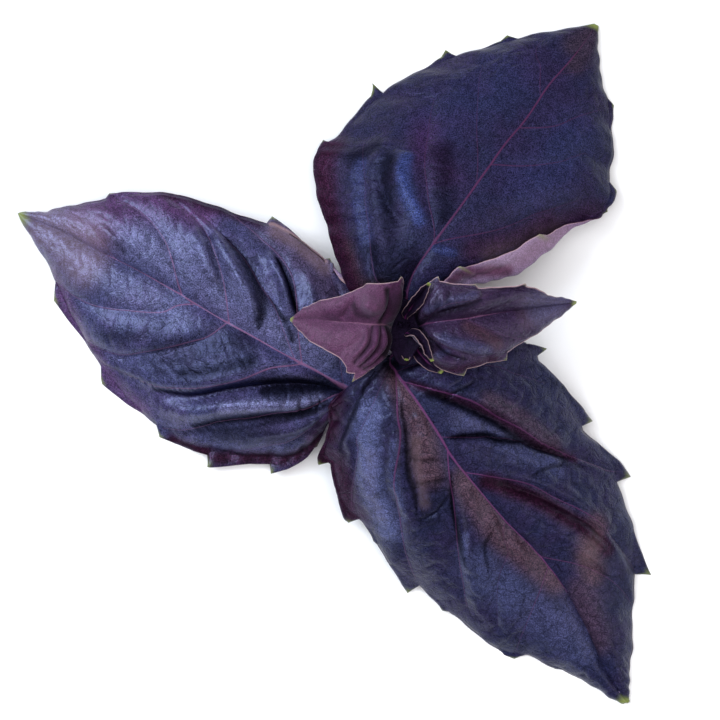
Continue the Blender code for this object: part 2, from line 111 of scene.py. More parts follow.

# -------------------------------------------------------------------------------- the leaf shapes
# stations, rows: cross lines of the mesh, and steps from midrib to margin.
# half_width: of the stalk. keel: how far the midrib stands out below.
# stalk, ribs, tip: points of the sheet.
# bow: how far each half of the blade domes above the straight line from midrib to margin.
# teeth: (rib, length, ribs from the foot to the point). lean: of the teeth, where not TOOTH_LEAN.
# trim: (rib, how far the margin lies outside its rail).
# turn: (rib, width of the turned strip, angle in degrees; up is positive).
# quilt: height of the cushions between the rungs of fine veins.
# veins: from stem to tip, each a strength and its (row, rib) points from the midrib outwards.
# panels: height and crest of the swelling before, between and after the veins; the crest is 0 at
#   the stemward vein and 1 at the tipward one.
# folds: height, width on the tipward side, width on the stemward side, (row, rib) points.
# bumps: height, width, (row, rib) points; a bump keeps its height to the ends of its line.
# tints: kind, strength, width, (row, rib) points. A dark tint is painted shade in folds, troughs
# and the cavity; a slit is a line of painted shade that narrows to its ends. A bloom tint is a
# painted blue sheen, and a cream tint a pale colour that also paints glints.
LEFT_LEAF = dict(
    node="large_leaf_left", slot="leaf_purple", stations=330, rows=46, half_width=0.75, keel=0.95,
    stalk=[(11.3, -5.9, 7.2), (7.6, -5.4, 7.4)],
    ribs=[
        ((4.2, -6.2, 7.4), (4.2, -4.8, 7.7), (4.9, -3.2, 7.5)),
        ((2.2, -8.2, 6.9), (2.8, -4.2, 8.0), (7.2, 1.6, 7.6)),
        ((-1.2, -11.2, 5.4), (0.0, -2.8, 8.5), (6.6, 8.4, 8.0)),
        ((-5.0, -15.4, 3.4), (-3.6, -0.8, 9.2), (2.2, 11.8, 8.0)),
        ((-9.7, -16.7, 1.9), (-8.0, 1.4, 9.8), (-3.5, 17.6, 7.4)),
        ((-16.2, -16.6, 1.5), (-13.2, 4.4, 9.7), (-11.0, 23.2, 6.6)),
        ((-22.6, -15.0, 1.2), (-19.0, 7.6, 9.0), (-19.0, 25.8, 5.8)),
        ((-29.8, -11.0, 0.3), (-25.8, 11.7, 7.7), (-28.4, 28.4, 4.9)),
        ((-37.4, -3.9, 0.3), (-32.6, 15.6, 6.0), (-37.0, 27.9, 3.8)),
        ((-43.4, 5.6, 0.3), (-39.5, 19.0, 4.0), (-43.9, 27.0, 2.4)),
        ((-48.6, 16.2, 0.3), (-46.0, 22.6, 2.2), (-48.8, 26.1, 1.2)),
    ],
    tip=(-53.6, 25.5, 0.6),
    left=dict(
        bow=3.0, quilt=0.2,
        teeth=[(2.5, 0.5, 0.4), (4.05, 1.6, 1.2), (5.68, 1.8, 1.0), (6.9, 1.6, 1.0),
               (8.2, 2.1, 0.9), (9.6, 2.4, 0.9)],
        trim=[(0.8, 0.0), (1.8, -1.3), (3.6, -1.2), (4.3, -1.7), (4.8, -1.7), (5.7, -1.6),
              (6.4, -0.4), (7.1, -0.8),
              (7.7, -0.6), (8.4, -0.9), (8.9, -0.5), (9.75, -0.8), (10.3, -0.4), (11, -0.3)],
        turn=[(1.7, 0.0, 0), (2.9, 1.5, 40), (5.6, 1.5, 40), (6.4, 0.0, 0)],
        veins=[
            (0.7, [(0, 0.4), (0.5, 1.0), (0.7, 2.2), (0.8, 3.2), (0.88, 3.9), (0.94, 4.6),
                   (1, 5.3)]),
            (0.9, [(0, 0.9), (0.3, 1.5), (0.45, 2.8), (0.54, 3.9), (0.66, 4.7), (0.74, 5.4),
                   (0.85, 6.1), (1, 6.9)]),
            (1.0, [(0, 3.4), (0.06, 3.7), (0.18, 4.4), (0.35, 5.1), (0.48, 5.8), (0.59, 6.5),
                   (0.71, 7.1), (0.79, 7.6), (0.9, 8.1), (1, 8.5)]),
            (0.8, [(0, 5.8), (0.17, 6.2), (0.28, 6.6), (0.55, 7.5), (0.74, 8.0), (1, 8.8)]),
            (1.0, [(0, 6.6), (0.09, 7.0), (0.2, 7.3), (0.31, 7.8), (0.41, 8.2), (0.66, 9.0),
                   (0.83, 9.4), (1, 9.7)]),
        ],
        panels=[(0.1, 0.5), (0.4, 0.5), (0.2, 0.5), (0.75, 0.3), (0.7, 0.35), (0.3, 0.4)],
        folds=[
            (0.9, 1.6, 0.45, [(0.08, 3.8), (0.35, 5.1), (0.59, 6.4), (0.8, 7.5)]),
            (-1.5, 0.7, 1.1, [(0.1, 1.0), (0.22, 3.3), (0.42, 4.85), (0.62, 6.1), (0.78, 7.1)]),
            (0.95, 1.0, 1.5, [(0.3, 0.9), (0.43, 3.2), (0.52, 4.5), (0.65, 5.7), (0.85, 7.0)]),
            (-0.22, 0.25, 0.25, [(0.34, 3.3), (0.52, 3.3)]),
            (-0.2, 0.22, 0.22, [(0.38, 3.8), (0.52, 3.9)]),
            (-0.18, 0.25, 0.25, [(0.44, 4.5), (0.58, 4.5)]),
            (-0.18, 0.25, 0.25, [(0.3, 2.6), (0.48, 2.5)]),
            (0.3, 0.6, 0.6, [(0.62, 2.4), (0.72, 3.6), (0.84, 4.8)]),
            (0.35, 1.4, 0.5, [(0.2, 6.35), (0.5, 7.4), (0.75, 8.1)]),
        ],
        # Dark tints and slits below are painted shade; bloom is a painted blue sheen; cream is a
        # pale colour that also paints glints.
        tints=[
            ("wine", 1.0, 1.5, [(1.3, 0.4), (1.3, 2.6), (1.35, 4.0), (1.5, 5.6), (1.7, 6.6)]),
            ("dark", 0.5, 0.5, [(1.0, 0.8), (1.0, 2.6), (1.0, 4.0), (1.0, 5.6)]),
            ("plum", 1.0, 1.6, [(0.8, 0.9), (0.9, 1.8), (0.93, 2.6)]),
            ("shade_slit", 0.9, 1.0, [(0.1, 1.2), (0.2, 3.5), (0.4, 4.95), (0.6, 6.2), (0.76, 7.2)]),
            ("shade_slit", 0.8, 2.0, [(0.06, 0.6), (0.13, 1.8), (0.22, 3.0), (0.34, 4.0), (0.44, 4.6)]),
            ("shade_slit", 0.95, 1.1, [(0.42, 2.2), (0.54, 3.6), (0.63, 4.5), (0.72, 5.3), (0.86, 6.3)]),
            ("shade_slit", 0.6, 0.5, [(0.46, 2.0), (0.6, 3.6), (0.76, 4.9), (0.88, 6.1), (1.0, 6.9)]),
            ("dark", 0.75, 1.4, [(0.2, 5.0), (0.34, 5.7), (0.5, 6.6)]),
            ("bloom", 0.75, 0.9, [(0.34, 2.6), (0.46, 3.8), (0.53, 4.6), (0.64, 5.5)]),
            ("shade_slit", 0.5, 0.35, [(0.35, 2.9), (0.48, 2.9)]),
            ("shade_slit", 0.6, 0.35, [(0.4, 3.4), (0.54, 3.4)]),
            ("shade_slit", 0.5, 0.35, [(0.43, 4.0), (0.56, 4.0)]),
            ("bloom", 0.25, 3.5, [(0.12, 7.0), (0.2, 8.2)]),
            ("dark", 0.5, 3.0, [(0.12, 5.4), (0.3, 6.3), (0.5, 7.1)]),
            ("dark", 0.35, 1.4, [(0.3, 7.2), (0.5, 7.8), (0.7, 8.3)]),
            ("dark", 0.5, 1.8, [(0.78, 2.6), (0.8, 3.6), (0.82, 4.6), (0.86, 5.6)]),
            ("bloom", 0.4, 3.2, [(0.3, 9.2), (0.2, 10.2)]),
            ("cream", 0.19, 4.5, [(0.25, 9.3), (0.1, 10.4)]),
            ("plum", 0.8, 2.2, [(1.0, 7.4), (1.0, 8.6), (1.0, 9.8)]),
        ],
    ),
    right=dict(
        bow=1.8, quilt=0.16,
        teeth=[(3.62, 0.9, 0.2), (4.9, 1.4, 0.6), (8.05, 0.8, 0.7)],
        trim=[(2.0, 0.0), (3.0, 0.9), (3.6, 1.2), (4.2, 1.2), (4.6, 0.9), (5.05, -0.1),
              (5.6, -0.25), (6.0, 0.15), (6.7, 0.3), (7.2, 0.0), (7.8, 0.35), (8.3, -0.35),
              (10.0, -0.5), (11, -0.3)],
        turn=[(1.4, 0.0, 0), (2.0, 1.4, 110), (2.6, 1.9, 150), (3.3, 1.9, 155), (3.5, 0.8, 140),
              (3.56, 0.0, 0)],
        veins=[
            (0.5, [(0, 1.4), (0.43, 2.7), (0.84, 3.3), (1, 3.9)]),
            (1.0, [(0, 3.4), (0.24, 3.8), (0.51, 4.1), (0.7, 4.4), (0.86, 5.1), (1, 5.8)]),
            (0.7, [(0, 3.65), (0.18, 4.2), (0.34, 4.6), (0.45, 5.0), (0.57, 5.3), (0.67, 5.6),
                   (0.76, 6.0), (0.9, 6.5)]),
            (0.9, [(0, 5.75), (0.34, 5.9), (0.57, 6.1), (0.74, 6.3), (0.83, 6.5), (0.95, 6.9)]),
            (1.0, [(0, 6.95), (0.12, 7.0), (0.45, 7.1), (0.65, 7.3), (0.82, 7.6), (0.97, 8.0)]),
            (0.4, [(0, 8.6), (0.6, 8.9), (1, 9.4)]),
        ],
        panels=[(0.2, 0.5), (0.4, 0.4), (0.1, 0.4), (0.5, 0.3), (0.5, 0.3), (0.35, 0.4),
                (0.2, 0.5)],
        folds=[
            (0.8, 1.8, 0.4, [(0.3, 6.05), (0.49, 6.25), (0.72, 6.5)]),
            (1.3, 2.0, 0.6, [(0.18, 4.9), (0.33, 5.2), (0.52, 5.65), (0.74, 6.15)]),
            (1.1, 1.2, 0.35, [(0.36, 4.05), (0.57, 4.45), (0.76, 4.9)]),
            (-0.5, 0.35, 0.35, [(0.3, 3.9), (0.46, 4.2), (0.6, 4.4), (0.7, 4.65)]),
            (0.5, 0.8, 0.7, [(0.2, 2.9), (0.5, 3.5), (0.8, 4.1)]),
            (-0.4, 0.5, 0.5, [(0.5, 2.4), (0.8, 2.9), (0.95, 3.4)]),
        ],
        # Slits below are painted shade; bloom is a painted blue sheen; cream is the pale rolled
        # edge and also a painted glint.
        tints=[
            ("brown", 0.4, 2.8, [(0.74, 2.9), (0.84, 4.0), (0.95, 5.0)]),
            ("plum", 1.0, 4.5, [(0.95, 6.4), (0.9, 7.6), (0.7, 8.8)]),
            ("bloom", 0.45, 3.4, [(0.4, 9.2), (0.3, 10.2)]),
            ("bloom", 0.42, 4.2, [(0.15, 3.2), (0.2, 5.2), (0.35, 6.7), (0.45, 7.8)]),
            ("cream", 0.19, 4.5, [(0.25, 9.2), (0.1, 10.4)]),
            ("shade_slit", 0.7, 0.5, [(0.15, 3.9), (0.25, 4.15), (0.4, 4.8)]),
            ("shade_slit", 0.35, 0.5, [(0.62, 8.4), (0.4, 8.3), (0.2, 8.2)]),
            ("shade_slit", 1.0, 0.7, [(0.38, 3.85), (0.46, 4.15), (0.57, 4.35), (0.74, 4.75)]),
            ("shade_slit", 0.72, 1.1, [(0.1, 4.9), (0.3, 4.9), (0.56, 5.3), (0.76, 5.9)]),
            ("shade_slit", 0.3, 0.7, [(0.25, 5.95), (0.49, 6.1), (0.76, 6.35)]),
            ("wine", 0.8, 1.2, [(1.0, 5.2), (1.0, 6.0), (1.0, 7.0)]),
            ("cream", 0.2, 1.6, [(0.95, 3.7), (0.97, 4.8)]),
            ("cream", 0.5, 0.35, [(1.25, 3.7), (1.2, 4.3), (1.2, 4.95)]),
            ("cream", 0.8, 0.9, [(2, 1.6), (2, 2.4), (2, 3.2)]),
        ],
    ),
)
UPPER_RIGHT_LEAF = dict(
    node="large_leaf_upper_right", slot="leaf_purple", stations=320, rows=46, half_width=0.75,
    keel=0.95,
    stalk=[(12.0, 7.0, 12.4), (12.1, 9.0, 13.1)],
    ribs=[
        ((10.9, 11.0, 13.4), (12.2, 10.9, 13.7), (13.5, 10.9, 13.5)),
        ((7.2, 10.6, 12.2), (12.6, 13.0, 14.4), (17.0, 12.4, 13.0)),
        ((3.6, 11.6, 10.8), (13.6, 15.6, 15.0), (19.8, 13.8, 12.4)),
        ((1.3, 16.2, 9.0), (16.0, 19.1, 15.4), (23.9, 15.0, 11.3)),
        ((-0.6, 22.5, 7.0), (19.1, 23.3, 15.2), (28.8, 15.9, 9.7)),
        ((-2.5, 28.8, 5.0), (22.2, 27.5, 14.4), (34.1, 19.1, 7.9)),
        ((-2.8, 35.3, 3.4), (25.6, 32.3, 13.0), (39.8, 23.4, 5.9)),
        ((2.2, 39.5, 2.1), (28.9, 36.9, 11.2), (46.1, 27.1, 3.6)),
        ((9.0, 45.9, 1.3), (32.6, 41.4, 8.8), (47.0, 33.8, 1.8)),
        ((16.7, 50.2, 0.8), (36.4, 47.0, 6.2), (46.9, 40.5, 1.0)),
        ((25.3, 53.4, 0.5), (40.1, 51.3, 3.8), (46.0, 46.5, 0.6)),
        ((35.8, 56.2, 0.3), (42.9, 54.9, 1.8), (45.2, 52.4, 0.3)),
    ],
    tip=(44.7, 57.5, 0.4),
    left=dict(
        bow=2.2, lean=0.9,
        teeth=[(6.4, 1.4, 0.35), (7.8, 1.5, 1.1), (7.86, 3.4, 0.22), (9.3, 1.4, 0.7),
               (9.42, 3.3, 0.24), (10.3, 0.9, 0.5), (10.45, 2.7, 0.2)],
        trim=[(5.8, 0.0), (6.0, -0.3), (6.6, 0.0), (8.1, 0.3), (9.5, 0.3), (9.8, 0.1), (10.8, -0.3),
              (12, -0.3)],
        turn=[],
        veins=[
            (0.6, [(0, 0.3), (0.3, 1.2), (0.55, 1.9), (0.63, 2.5), (0.65, 3.5), (0.67, 4.6),
                   (0.69, 5.6), (0.8, 6.6)]),
            (0.7, [(0, 3.2), (0.04, 3.5), (0.21, 4.6), (0.33, 5.7), (0.47, 6.9), (0.65, 8.0)]),
            (0.5, [(0, 5.5), (0.15, 6.8), (0.39, 8.2), (0.65, 9.3)]),
            (0.5, [(0, 8.6), (0.19, 9.5), (0.35, 9.9), (0.7, 10.7)]),
        ],
        panels=[(0.2, 0.5), (0.5, 0.6), (0.3, 0.4), (0.2, 0.5), (0.15, 0.5)],
        folds=[
            (0.85, 0.6, 1.9, [(0.2, 4.1), (0.34, 4.85), (0.45, 5.6), (0.5, 6.3)]),
            (-0.3, 0.8, 0.8, [(0.36, 3.9), (0.48, 4.5), (0.57, 5.2), (0.62, 6.0)]),
            (0.4, 1.3, 1.3, [(0.72, 3.4), (0.73, 4.6), (0.74, 5.8)]),
            (-0.3, 0.3, 0.3, [(0.71, 3.5), (0.72, 4.6), (0.73, 5.7)]),
            (0.13, 0.4, 0.4, [(0.57, 4.45), (0.69, 4.3), (0.83, 4.35)]),
            (0.11, 0.35, 0.35, [(0.6, 4.95), (0.7, 4.75), (0.84, 4.7)]),
            (0.12, 0.4, 0.4, [(0.6, 5.35), (0.72, 5.2), (0.86, 5.3)]),
            (0.1, 0.4, 0.4, [(0.61, 3.9), (0.7, 3.7), (0.82, 3.75)]),
        ],
        # Dark tints below are painted shade; bloom is a painted blue sheen.
        tints=[
            ("wine", 1.0, 2.9, [(1.0, 0.8), (0.97, 2.5), (0.97, 4.0), (0.95, 5.6), (0.96, 6.3)]),
            ("brown", 1.0, 2.4, [(0.7, 1.2), (0.9, 2.2), (0.92, 3.4)]),
            ("bloom", 1.0, 1.1, [(0.25, 4.15), (0.36, 4.8), (0.44, 5.5), (0.48, 6.1)]),
            ("bloom", 0.4, 1.4, [(0.68, 3.7), (0.71, 4.7), (0.72, 5.8)]),
            ("dark", 0.7, 3.6, [(0.6, 0.8), (0.5, 1.8), (0.35, 2.8)]),
            ("dark", 0.7, 1.6, [(0.4, 3.2), (0.5, 4.2), (0.53, 5.0), (0.56, 5.9)]),
            ("bloom", 0.15, 6.0, [(0.5, 7.6), (0.4, 9.0)]),
            ("dark", 0.5, 2.0, [(0.1, 4.4), (0.2, 5.4), (0.3, 6.4)]),
            ("dark", 0.6, 2.2, [(0.3, 1.6), (0.45, 2.6), (0.6, 3.2)]),
            ("dark", 0.6, 1.3, [(0.7, 6.4), (0.8, 5.9)]),
            ("plum", 0.55, 3.4, [(0.5, 7.0), (0.4, 6.5), (0.25, 5.7)]),
            ("brown", 0.5, 2.2, [(0.05, 11.4), (0.12, 10.6)]),
        ],
    ),
    right=dict(
        bow=1.6,
        teeth=[(3.1, 1.0, 0.7), (5.3, 1.0, 0.7), (6.8, 0.9, 0.4), (7.42, 1.2, 0.7),
               (9.64, 1.3, 0.9)],
        trim=[(4.8, 0.0), (5.3, -0.4), (5.7, -0.7), (6.1, 0.1), (6.6, 0.3), (7.0, 0.2),
              (7.4, 0.0), (7.55, -0.6), (7.8, -0.4), (8.35, 0.25), (8.7, 0.0), (9.3, 0.1),
              (9.9, -0.1), (10.5, -0.75), (11.0, -0.7), (11.6, -0.2), (12, -0.3)],
        turn=[(0.4, 0.0, 0), (1.2, 4.2, 168), (2.0, 6.2, 176), (3.0, 8.2, 180), (4.2, 7.6, 180),
              (5.1, 5.9, 178), (5.9, 3.2, 172), (6.4, 1.3, 140), (6.7, 0.0, 0)],
        veins=[
            (0.8, [(0, 3.15), (0.35, 4.2), (0.56, 5.0), (0.71, 5.8), (0.8, 6.7)]),
            (0.8, [(0, 6.2), (0.21, 6.6), (0.43, 7.2), (0.7, 7.9)]),
            (0.8, [(0, 7.6), (0.28, 8.1), (0.48, 8.6), (0.8, 9.2)]),
            (0.3, [(0, 9.4), (0.5, 10.2), (0.9, 10.7)]),
        ],
        panels=[(0.3, 0.5), (0.35, 0.5), (0.2, 0.5), (0.15, 0.5), (0.1, 0.5)],
        folds=[
            (0.35, 0.6, 0.6, [(0.05, 3.1), (0.24, 3.2), (0.4, 3.4)]),
            (0.35, 0.5, 0.5, [(1.42, 0.9), (1.5, 2.0), (1.55, 3.2), (1.7, 4.4)]),
        ],
        # Bloom tints below are a painted blue sheen; cream is a pale colour that also paints
        # glints.
        tints=[
            ("wine", 0.45, 2.6, [(0.95, 4.4), (0.92, 5.4), (1.0, 6.6)]),
            ("wine", 0.5, 2.0, [(0.5, 3.8), (0.7, 4.8), (0.85, 5.8)]),
            ("bloom", 0.5, 0.7, [(0.05, 3.1), (0.24, 3.2), (0.36, 3.3)]),
            ("wine", 0.9, 1.3, [(1.85, 2.4), (1.78, 3.0), (1.66, 3.6), (1.5, 4.0)]),
            ("brown", 0.5, 2.2, [(0.05, 11.4), (0.1, 10.0)]),
            ("cream", 0.14, 2.4, [(1.9, 4.0), (1.75, 4.8), (1.6, 5.6)]),
            ("bloom", 0.25, 5.0, [(0.4, 6.2), (0.5, 8.2)]),
        ],
    ),
)
LOWER_RIGHT_LEAF = dict(
    node="large_leaf_lower_right", slot="leaf_purple", stations=340, rows=46, half_width=0.75,
    keel=0.95,
    stalk=[(11.5, 2.5, 13.5), (10.4, 1.7, 14.1)],
    ribs=[
        ((11.2, 1.4, 14.5), (9.7, 0.9, 14.7), (8.4, 0.9, 14.3)),
        ((14.8, 3.2, 14.0), (9.5, 0.0, 15.1), (5.0, -2.6, 13.2)),
        ((20.6, 4.7, 12.9), (10.2, -1.0, 15.6), (0.8, -5.6, 11.2)),
        ((27.8, 4.6, 10.9), (11.7, -3.2, 16.3), (-0.7, -9.9, 9.3)),
        ((33.6, 2.2, 8.4), (14.3, -6.8, 16.6), (-1.0, -15.2, 7.6)),
        ((38.2, -3.9, 5.8), (17.2, -11.2, 16.2), (0.4, -21.9, 5.8)),
        ((42.3, -10.5, 3.6), (20.4, -16.3, 15.0), (5.4, -27.2, 4.6)),
        ((46.9, -16.7, 2.0), (24.2, -20.9, 13.2), (9.2, -33.6, 3.2)),
        ((50.4, -25.7, 1.2), (28.9, -26.3, 10.8), (15.4, -38.0, 2.1)),
        ((51.6, -34.2, 0.7), (33.8, -31.3, 8.2), (21.9, -42.9, 1.3)),
        ((51.0, -42.1, 0.4), (38.6, -37.2, 5.6), (29.1, -48.1, 0.8)),
        ((50.6, -49.5, 0.3), (43.1, -45.2, 3.0), (37.3, -51.7, 0.5)),
        ((50.4, -54.4, 0.3), (46.2, -52.0, 1.4), (44.3, -55.1, 0.3)),
    ],
    tip=(49.9, -57.6, 0.35),
    left=dict(
        bow=2.4, quilt=0.24,
        teeth=[(4.05, 2.1, 0.45), (5.87, 2.8, 1.0), (7.26, 3.0, 0.75), (9.07, 3.0, 0.8)],
        trim=[(3.7, -0.3), (4.1, 0.0), (4.3, -0.9), (4.7, -0.1), (5.0, 0.2), (5.6, 0.0),
              (5.95, -0.7), (6.1, -1.1), (6.5, -0.1), (7.0, 0.0), (7.4, -0.8), (7.9, -0.6),
              (8.2, -0.4), (9.3, -0.9), (9.7, -0.6), (10.8, -0.2), (11.3, -0.4), (12.0, -0.5),
              (12.6, 0.0), (13, 0.0)],
        turn=[],
        veins=[
            (0.5, [(0, 2.2), (0.28, 2.5), (0.42, 3.1), (0.61, 3.7), (0.74, 4.2), (0.9, 4.8)]),
            (1.0, [(0, 2.9), (0.18, 3.8), (0.35, 4.5), (0.44, 5.1), (0.55, 5.6), (0.65, 6.1),
                   (0.76, 6.7), (0.91, 7.1), (1, 7.2)]),
            (0.5, [(0, 5.2), (0.2, 5.5), (0.46, 5.8), (0.7, 6.6)]),
            (0.9, [(0, 6.4), (0.21, 6.8), (0.35, 7.1), (0.48, 7.5), (0.61, 7.8), (0.71, 8.1),
                   (0.83, 8.6), (1, 9.1)]),
            (0.6, [(0, 9.2), (0.34, 9.2), (0.56, 9.3), (0.78, 9.5), (1, 9.9)]),
        ],
        panels=[(0.2, 0.5), (0.4, 0.5), (0.3, 0.4), (0.35, 0.35), (0.75, 0.3), (0.3, 0.5)],
        folds=[
            (0.8, 0.7, 1.6, [(0.15, 3.55), (0.35, 4.4), (0.55, 5.45), (0.76, 6.5)]),
            (-0.7, 0.8, 0.6, [(0.18, 4.1), (0.35, 4.9), (0.55, 5.9), (0.74, 6.75)]),
            (-0.7, 0.45, 0.45, [(0.05, 5.3), (0.28, 5.5), (0.38, 5.75), (0.51, 5.95)]),
            (-0.3, 0.35, 0.35, [(0.15, 4.15), (0.43, 4.1)]),
            (-0.25, 0.3, 0.3, [(0.5, 6.9), (0.72, 6.8)]),
            (0.9, 0.6, 1.8, [(0.1, 6.5), (0.35, 7.0), (0.58, 7.6), (0.8, 8.4)]),
            (-0.7, 0.9, 0.6, [(0.15, 6.95), (0.35, 7.4), (0.58, 8.0), (0.78, 8.7)]),
            (0.4, 1.2, 1.2, [(0.3, 8.3), (0.5, 8.8), (0.7, 9.0)]),
            (0.2, 0.25, 0.6, [(0.46, 8.3), (0.6, 8.6), (0.76, 9.0)]),
            (0.2, 0.25, 0.6, [(0.44, 8.9), (0.58, 9.1), (0.74, 9.4)]),
            (0.22, 0.25, 0.6, [(0.4, 5.0), (0.56, 5.1), (0.72, 5.6)]),
        ],
        # Dark tints and slits below are painted shade; bloom is a painted blue sheen; cream a
        # painted glint.
        tints=[
            ("wine", 0.8, 0.8, [(0.05, 3.2), (0.18, 3.9), (0.35, 4.7), (0.55, 5.75), (0.76, 6.75)]),
            ("dark", 0.8, 0.8, [(0.12, 3.8), (0.3, 4.75), (0.5, 5.75), (0.7, 6.7)]),
            ("dark", 0.8, 2.2, [(0.0, 0.2), (0.1, 1.4)]),
            ("dark", 0.7, 0.7, [(0.1, 2.4), (0.4, 2.6), (0.7, 3.0)]),
            ("wine", 1.0, 1.5, [(0.1, 6.8), (0.21, 7.15), (0.35, 7.5), (0.48, 7.95), (0.61, 8.3),
                                (0.72, 8.7)]),
            ("shade_slit", 0.45, 0.7, [(0.06, 6.7), (0.21, 7.05), (0.35, 7.4), (0.5, 7.9), (0.68, 8.4)]),
            ("shade_slit", 0.9, 0.8, [(0.05, 5.3), (0.28, 5.5), (0.38, 5.75), (0.56, 6.0)]),
            ("shade_slit", 0.6, 0.5, [(0.15, 4.15), (0.43, 4.1)]),
            ("shade_slit", 0.5, 0.4, [(0.4, 6.9), (0.6, 6.8), (0.8, 7.0)]),
            ("brown", 0.55, 1.8, [(0.45, 4.7), (0.58, 5.4), (0.72, 6.2)]),
            ("brown", 0.95, 2.4, [(0.68, 8.2), (0.56, 8.6), (0.52, 9.4)]),
            ("cream", 0.09, 1.6, [(0.64, 8.5), (0.52, 8.9)]),
            ("brown", 0.5, 2.6, [(0.3, 9.9), (0.2, 10.6), (0.1, 11.2)]),
            ("bloom", 0.35, 2.4, [(0.22, 4.9), (0.4, 5.7), (0.6, 6.8)]),
        ],
    ),
    right=dict(
        bow=2.8, quilt=0.24,
        teeth=[(4.1, 1.3, 0.5), (5.68, 2.2, 0.65), (6.4, 0.5, 0.5), (7.77, 3.0, 0.75),
               (8.6, 0.9, 0.6), (10.27, 1.1, 0.4), (11.05, 0.4, 0.4)],
        trim=[(2.4, -0.3), (3.2, -1.0), (3.6, -0.5), (3.95, 0.4), (4.1, 0.2), (4.3, -1.3),
              (4.9, -1.2), (5.25, -0.3), (5.6, 0.3), (5.9, -0.4), (7.2, -0.4), (7.75, 0.1),
              (8.5, 0.1), (8.8, 0.6), (10.1, 0.7), (10.45, -0.8), (10.9, -0.6), (12.0, -0.5),
              (12.5, 0.4), (12.9, 0.4), (13, 0.0)],
        turn=[(1.0, 0.0, 0), (2.0, 0.7, 15), (4.6, 0.5, 15), (6.0, 0.0, 0)],
        veins=[
            (0.6, [(0, 1.6), (0.24, 2.5), (0.47, 3.3), (0.66, 4.0), (0.79, 4.7), (0.9, 5.2),
                   (1, 5.7)]),
            (1.0, [(0, 2.2), (0.17, 3.5), (0.31, 4.6), (0.49, 5.4), (0.68, 6.2), (0.8, 6.9),
                   (0.96, 7.7)]),
            (1.0, [(0, 5.6), (0.12, 6.2), (0.24, 6.9), (0.4, 7.5), (0.63, 8.2), (0.85, 8.9)]),
            (0.4, [(0, 8.0), (0.12, 8.2), (0.2, 8.6), (0.37, 8.8), (0.55, 9.1), (0.8, 9.6)]),
            (0.6, [(0, 9.5), (0.21, 9.7), (0.34, 9.8), (0.62, 10.0), (0.94, 10.2)]),
        ],
        panels=[(0.2, 0.5), (0.5, 0.5), (0.3, 0.5), (0.5, 0.5), (0.3, 0.4), (0.2, 0.5)],
        folds=[
            (0.9, 0.6, 1.2, [(0.17, 3.5), (0.34, 4.6), (0.54, 5.7), (0.64, 6.4)]),
            (-0.7, 0.65, 0.6, [(0.1, 3.9), (0.25, 5.0), (0.42, 5.9), (0.5, 6.4)]),
            (0.55, 0.5, 0.9, [(0.1, 6.3), (0.26, 7.15), (0.44, 7.85), (0.58, 8.3)]),
            (-0.25, 0.25, 0.25, [(0.12, 5.65), (0.34, 5.2)]),
            (-0.25, 0.25, 0.25, [(0.16, 6.2), (0.42, 5.8)]),
            (-0.4, 0.35, 0.35, [(0.56, 6.65), (0.42, 6.75), (0.26, 6.65)]),
            (-0.35, 0.5, 0.5, [(0.28, 1.9), (0.6, 2.6), (0.85, 3.0)]),
            (0.3, 0.6, 0.6, [(0.55, 3.2), (0.72, 3.9), (0.84, 4.6)]),
            (0.4, 1.0, 1.0, [(0.1, 7.6), (0.16, 8.3), (0.06, 9.0)]),
            (0.28, 0.25, 0.7, [(0.04, 6.9), (0.13, 7.35), (0.24, 7.9)]),
            (0.26, 0.25, 0.7, [(0.04, 7.6), (0.12, 8.05), (0.22, 8.6)]),
            (0.24, 0.25, 0.7, [(0.03, 8.3), (0.1, 8.75), (0.18, 9.3)]),
            (0.3, 0.25, 0.6, [(0.03, 4.2), (0.09, 4.9), (0.16, 5.5)]),
        ],
        # Dark tints and slits below are painted shade; bloom is a painted blue sheen; cream a
        # painted glint.
        tints=[
            ("wine", 1.0, 2.6, [(1.0, 2.0), (1.0, 3.4)]),
            ("wine", 1.0, 3.2, [(1.0, 4.0), (0.97, 4.8), (1.02, 5.6)]),
            ("bloom", 0.5, 0.7, [(0.36, 4.6), (0.55, 5.7), (0.66, 6.4)]),
            ("bloom", 1.0, 2.4, [(0.48, 3.4), (0.64, 4.7), (0.84, 6.4)]),
            ("cream", 0.04, 1.3, [(0.6, 4.6), (0.72, 5.3), (0.82, 6.0)]),
            ("bloom", 0.4, 4.0, [(0.5, 8.4), (0.45, 9.8), (0.4, 11.0)]),
            ("brown", 0.95, 2.5, [(0.02, 2.6), (0.06, 3.9), (0.14, 5.0), (0.25, 5.85)]),
            ("shade_slit", 0.75, 0.4, [(0.12, 3.5), (0.28, 4.8), (0.46, 5.95), (0.54, 6.5)]),
            ("dark", 0.2, 2.2, [(0.3, 6.3), (0.5, 6.8)]),
            ("dark", 0.8, 2.2, [(0.0, 0.2), (0.0, 1.2)]),
            ("dark", 0.6, 0.4, [(0.3, 1.2), (0.5, 2.3), (0.7, 3.2), (0.86, 4.2)]),
            ("shade_slit", 0.5, 0.6, [(0.56, 6.65), (0.42, 6.75), (0.22, 6.6)]),
            ("shade_slit", 0.5, 0.4, [(0.1, 5.7), (0.36, 5.2)]),
            ("shade_slit", 0.5, 0.4, [(0.14, 6.25), (0.44, 5.8)]),
            ("cream", 0.1, 1.0, [(0.2, 4.9), (0.36, 5.85), (0.44, 6.4)]),
            ("shade_slit", 0.5, 0.35, [(0.12, 7.9), (0.3, 8.1), (0.45, 8.6)]),
            ("shade_slit", 0.8, 0.5, [(0.1, 6.2), (0.26, 6.9), (0.38, 7.5), (0.56, 8.2)]),
            ("brown", 0.95, 2.6, [(0.05, 6.6), (0.08, 7.4), (0.12, 8.2), (0.1, 8.9), (0.04, 9.8)]),
            ("bloom", 0.7, 0.6, [(0.34, 7.6), (0.54, 8.1)]),
        ],
    ),
)
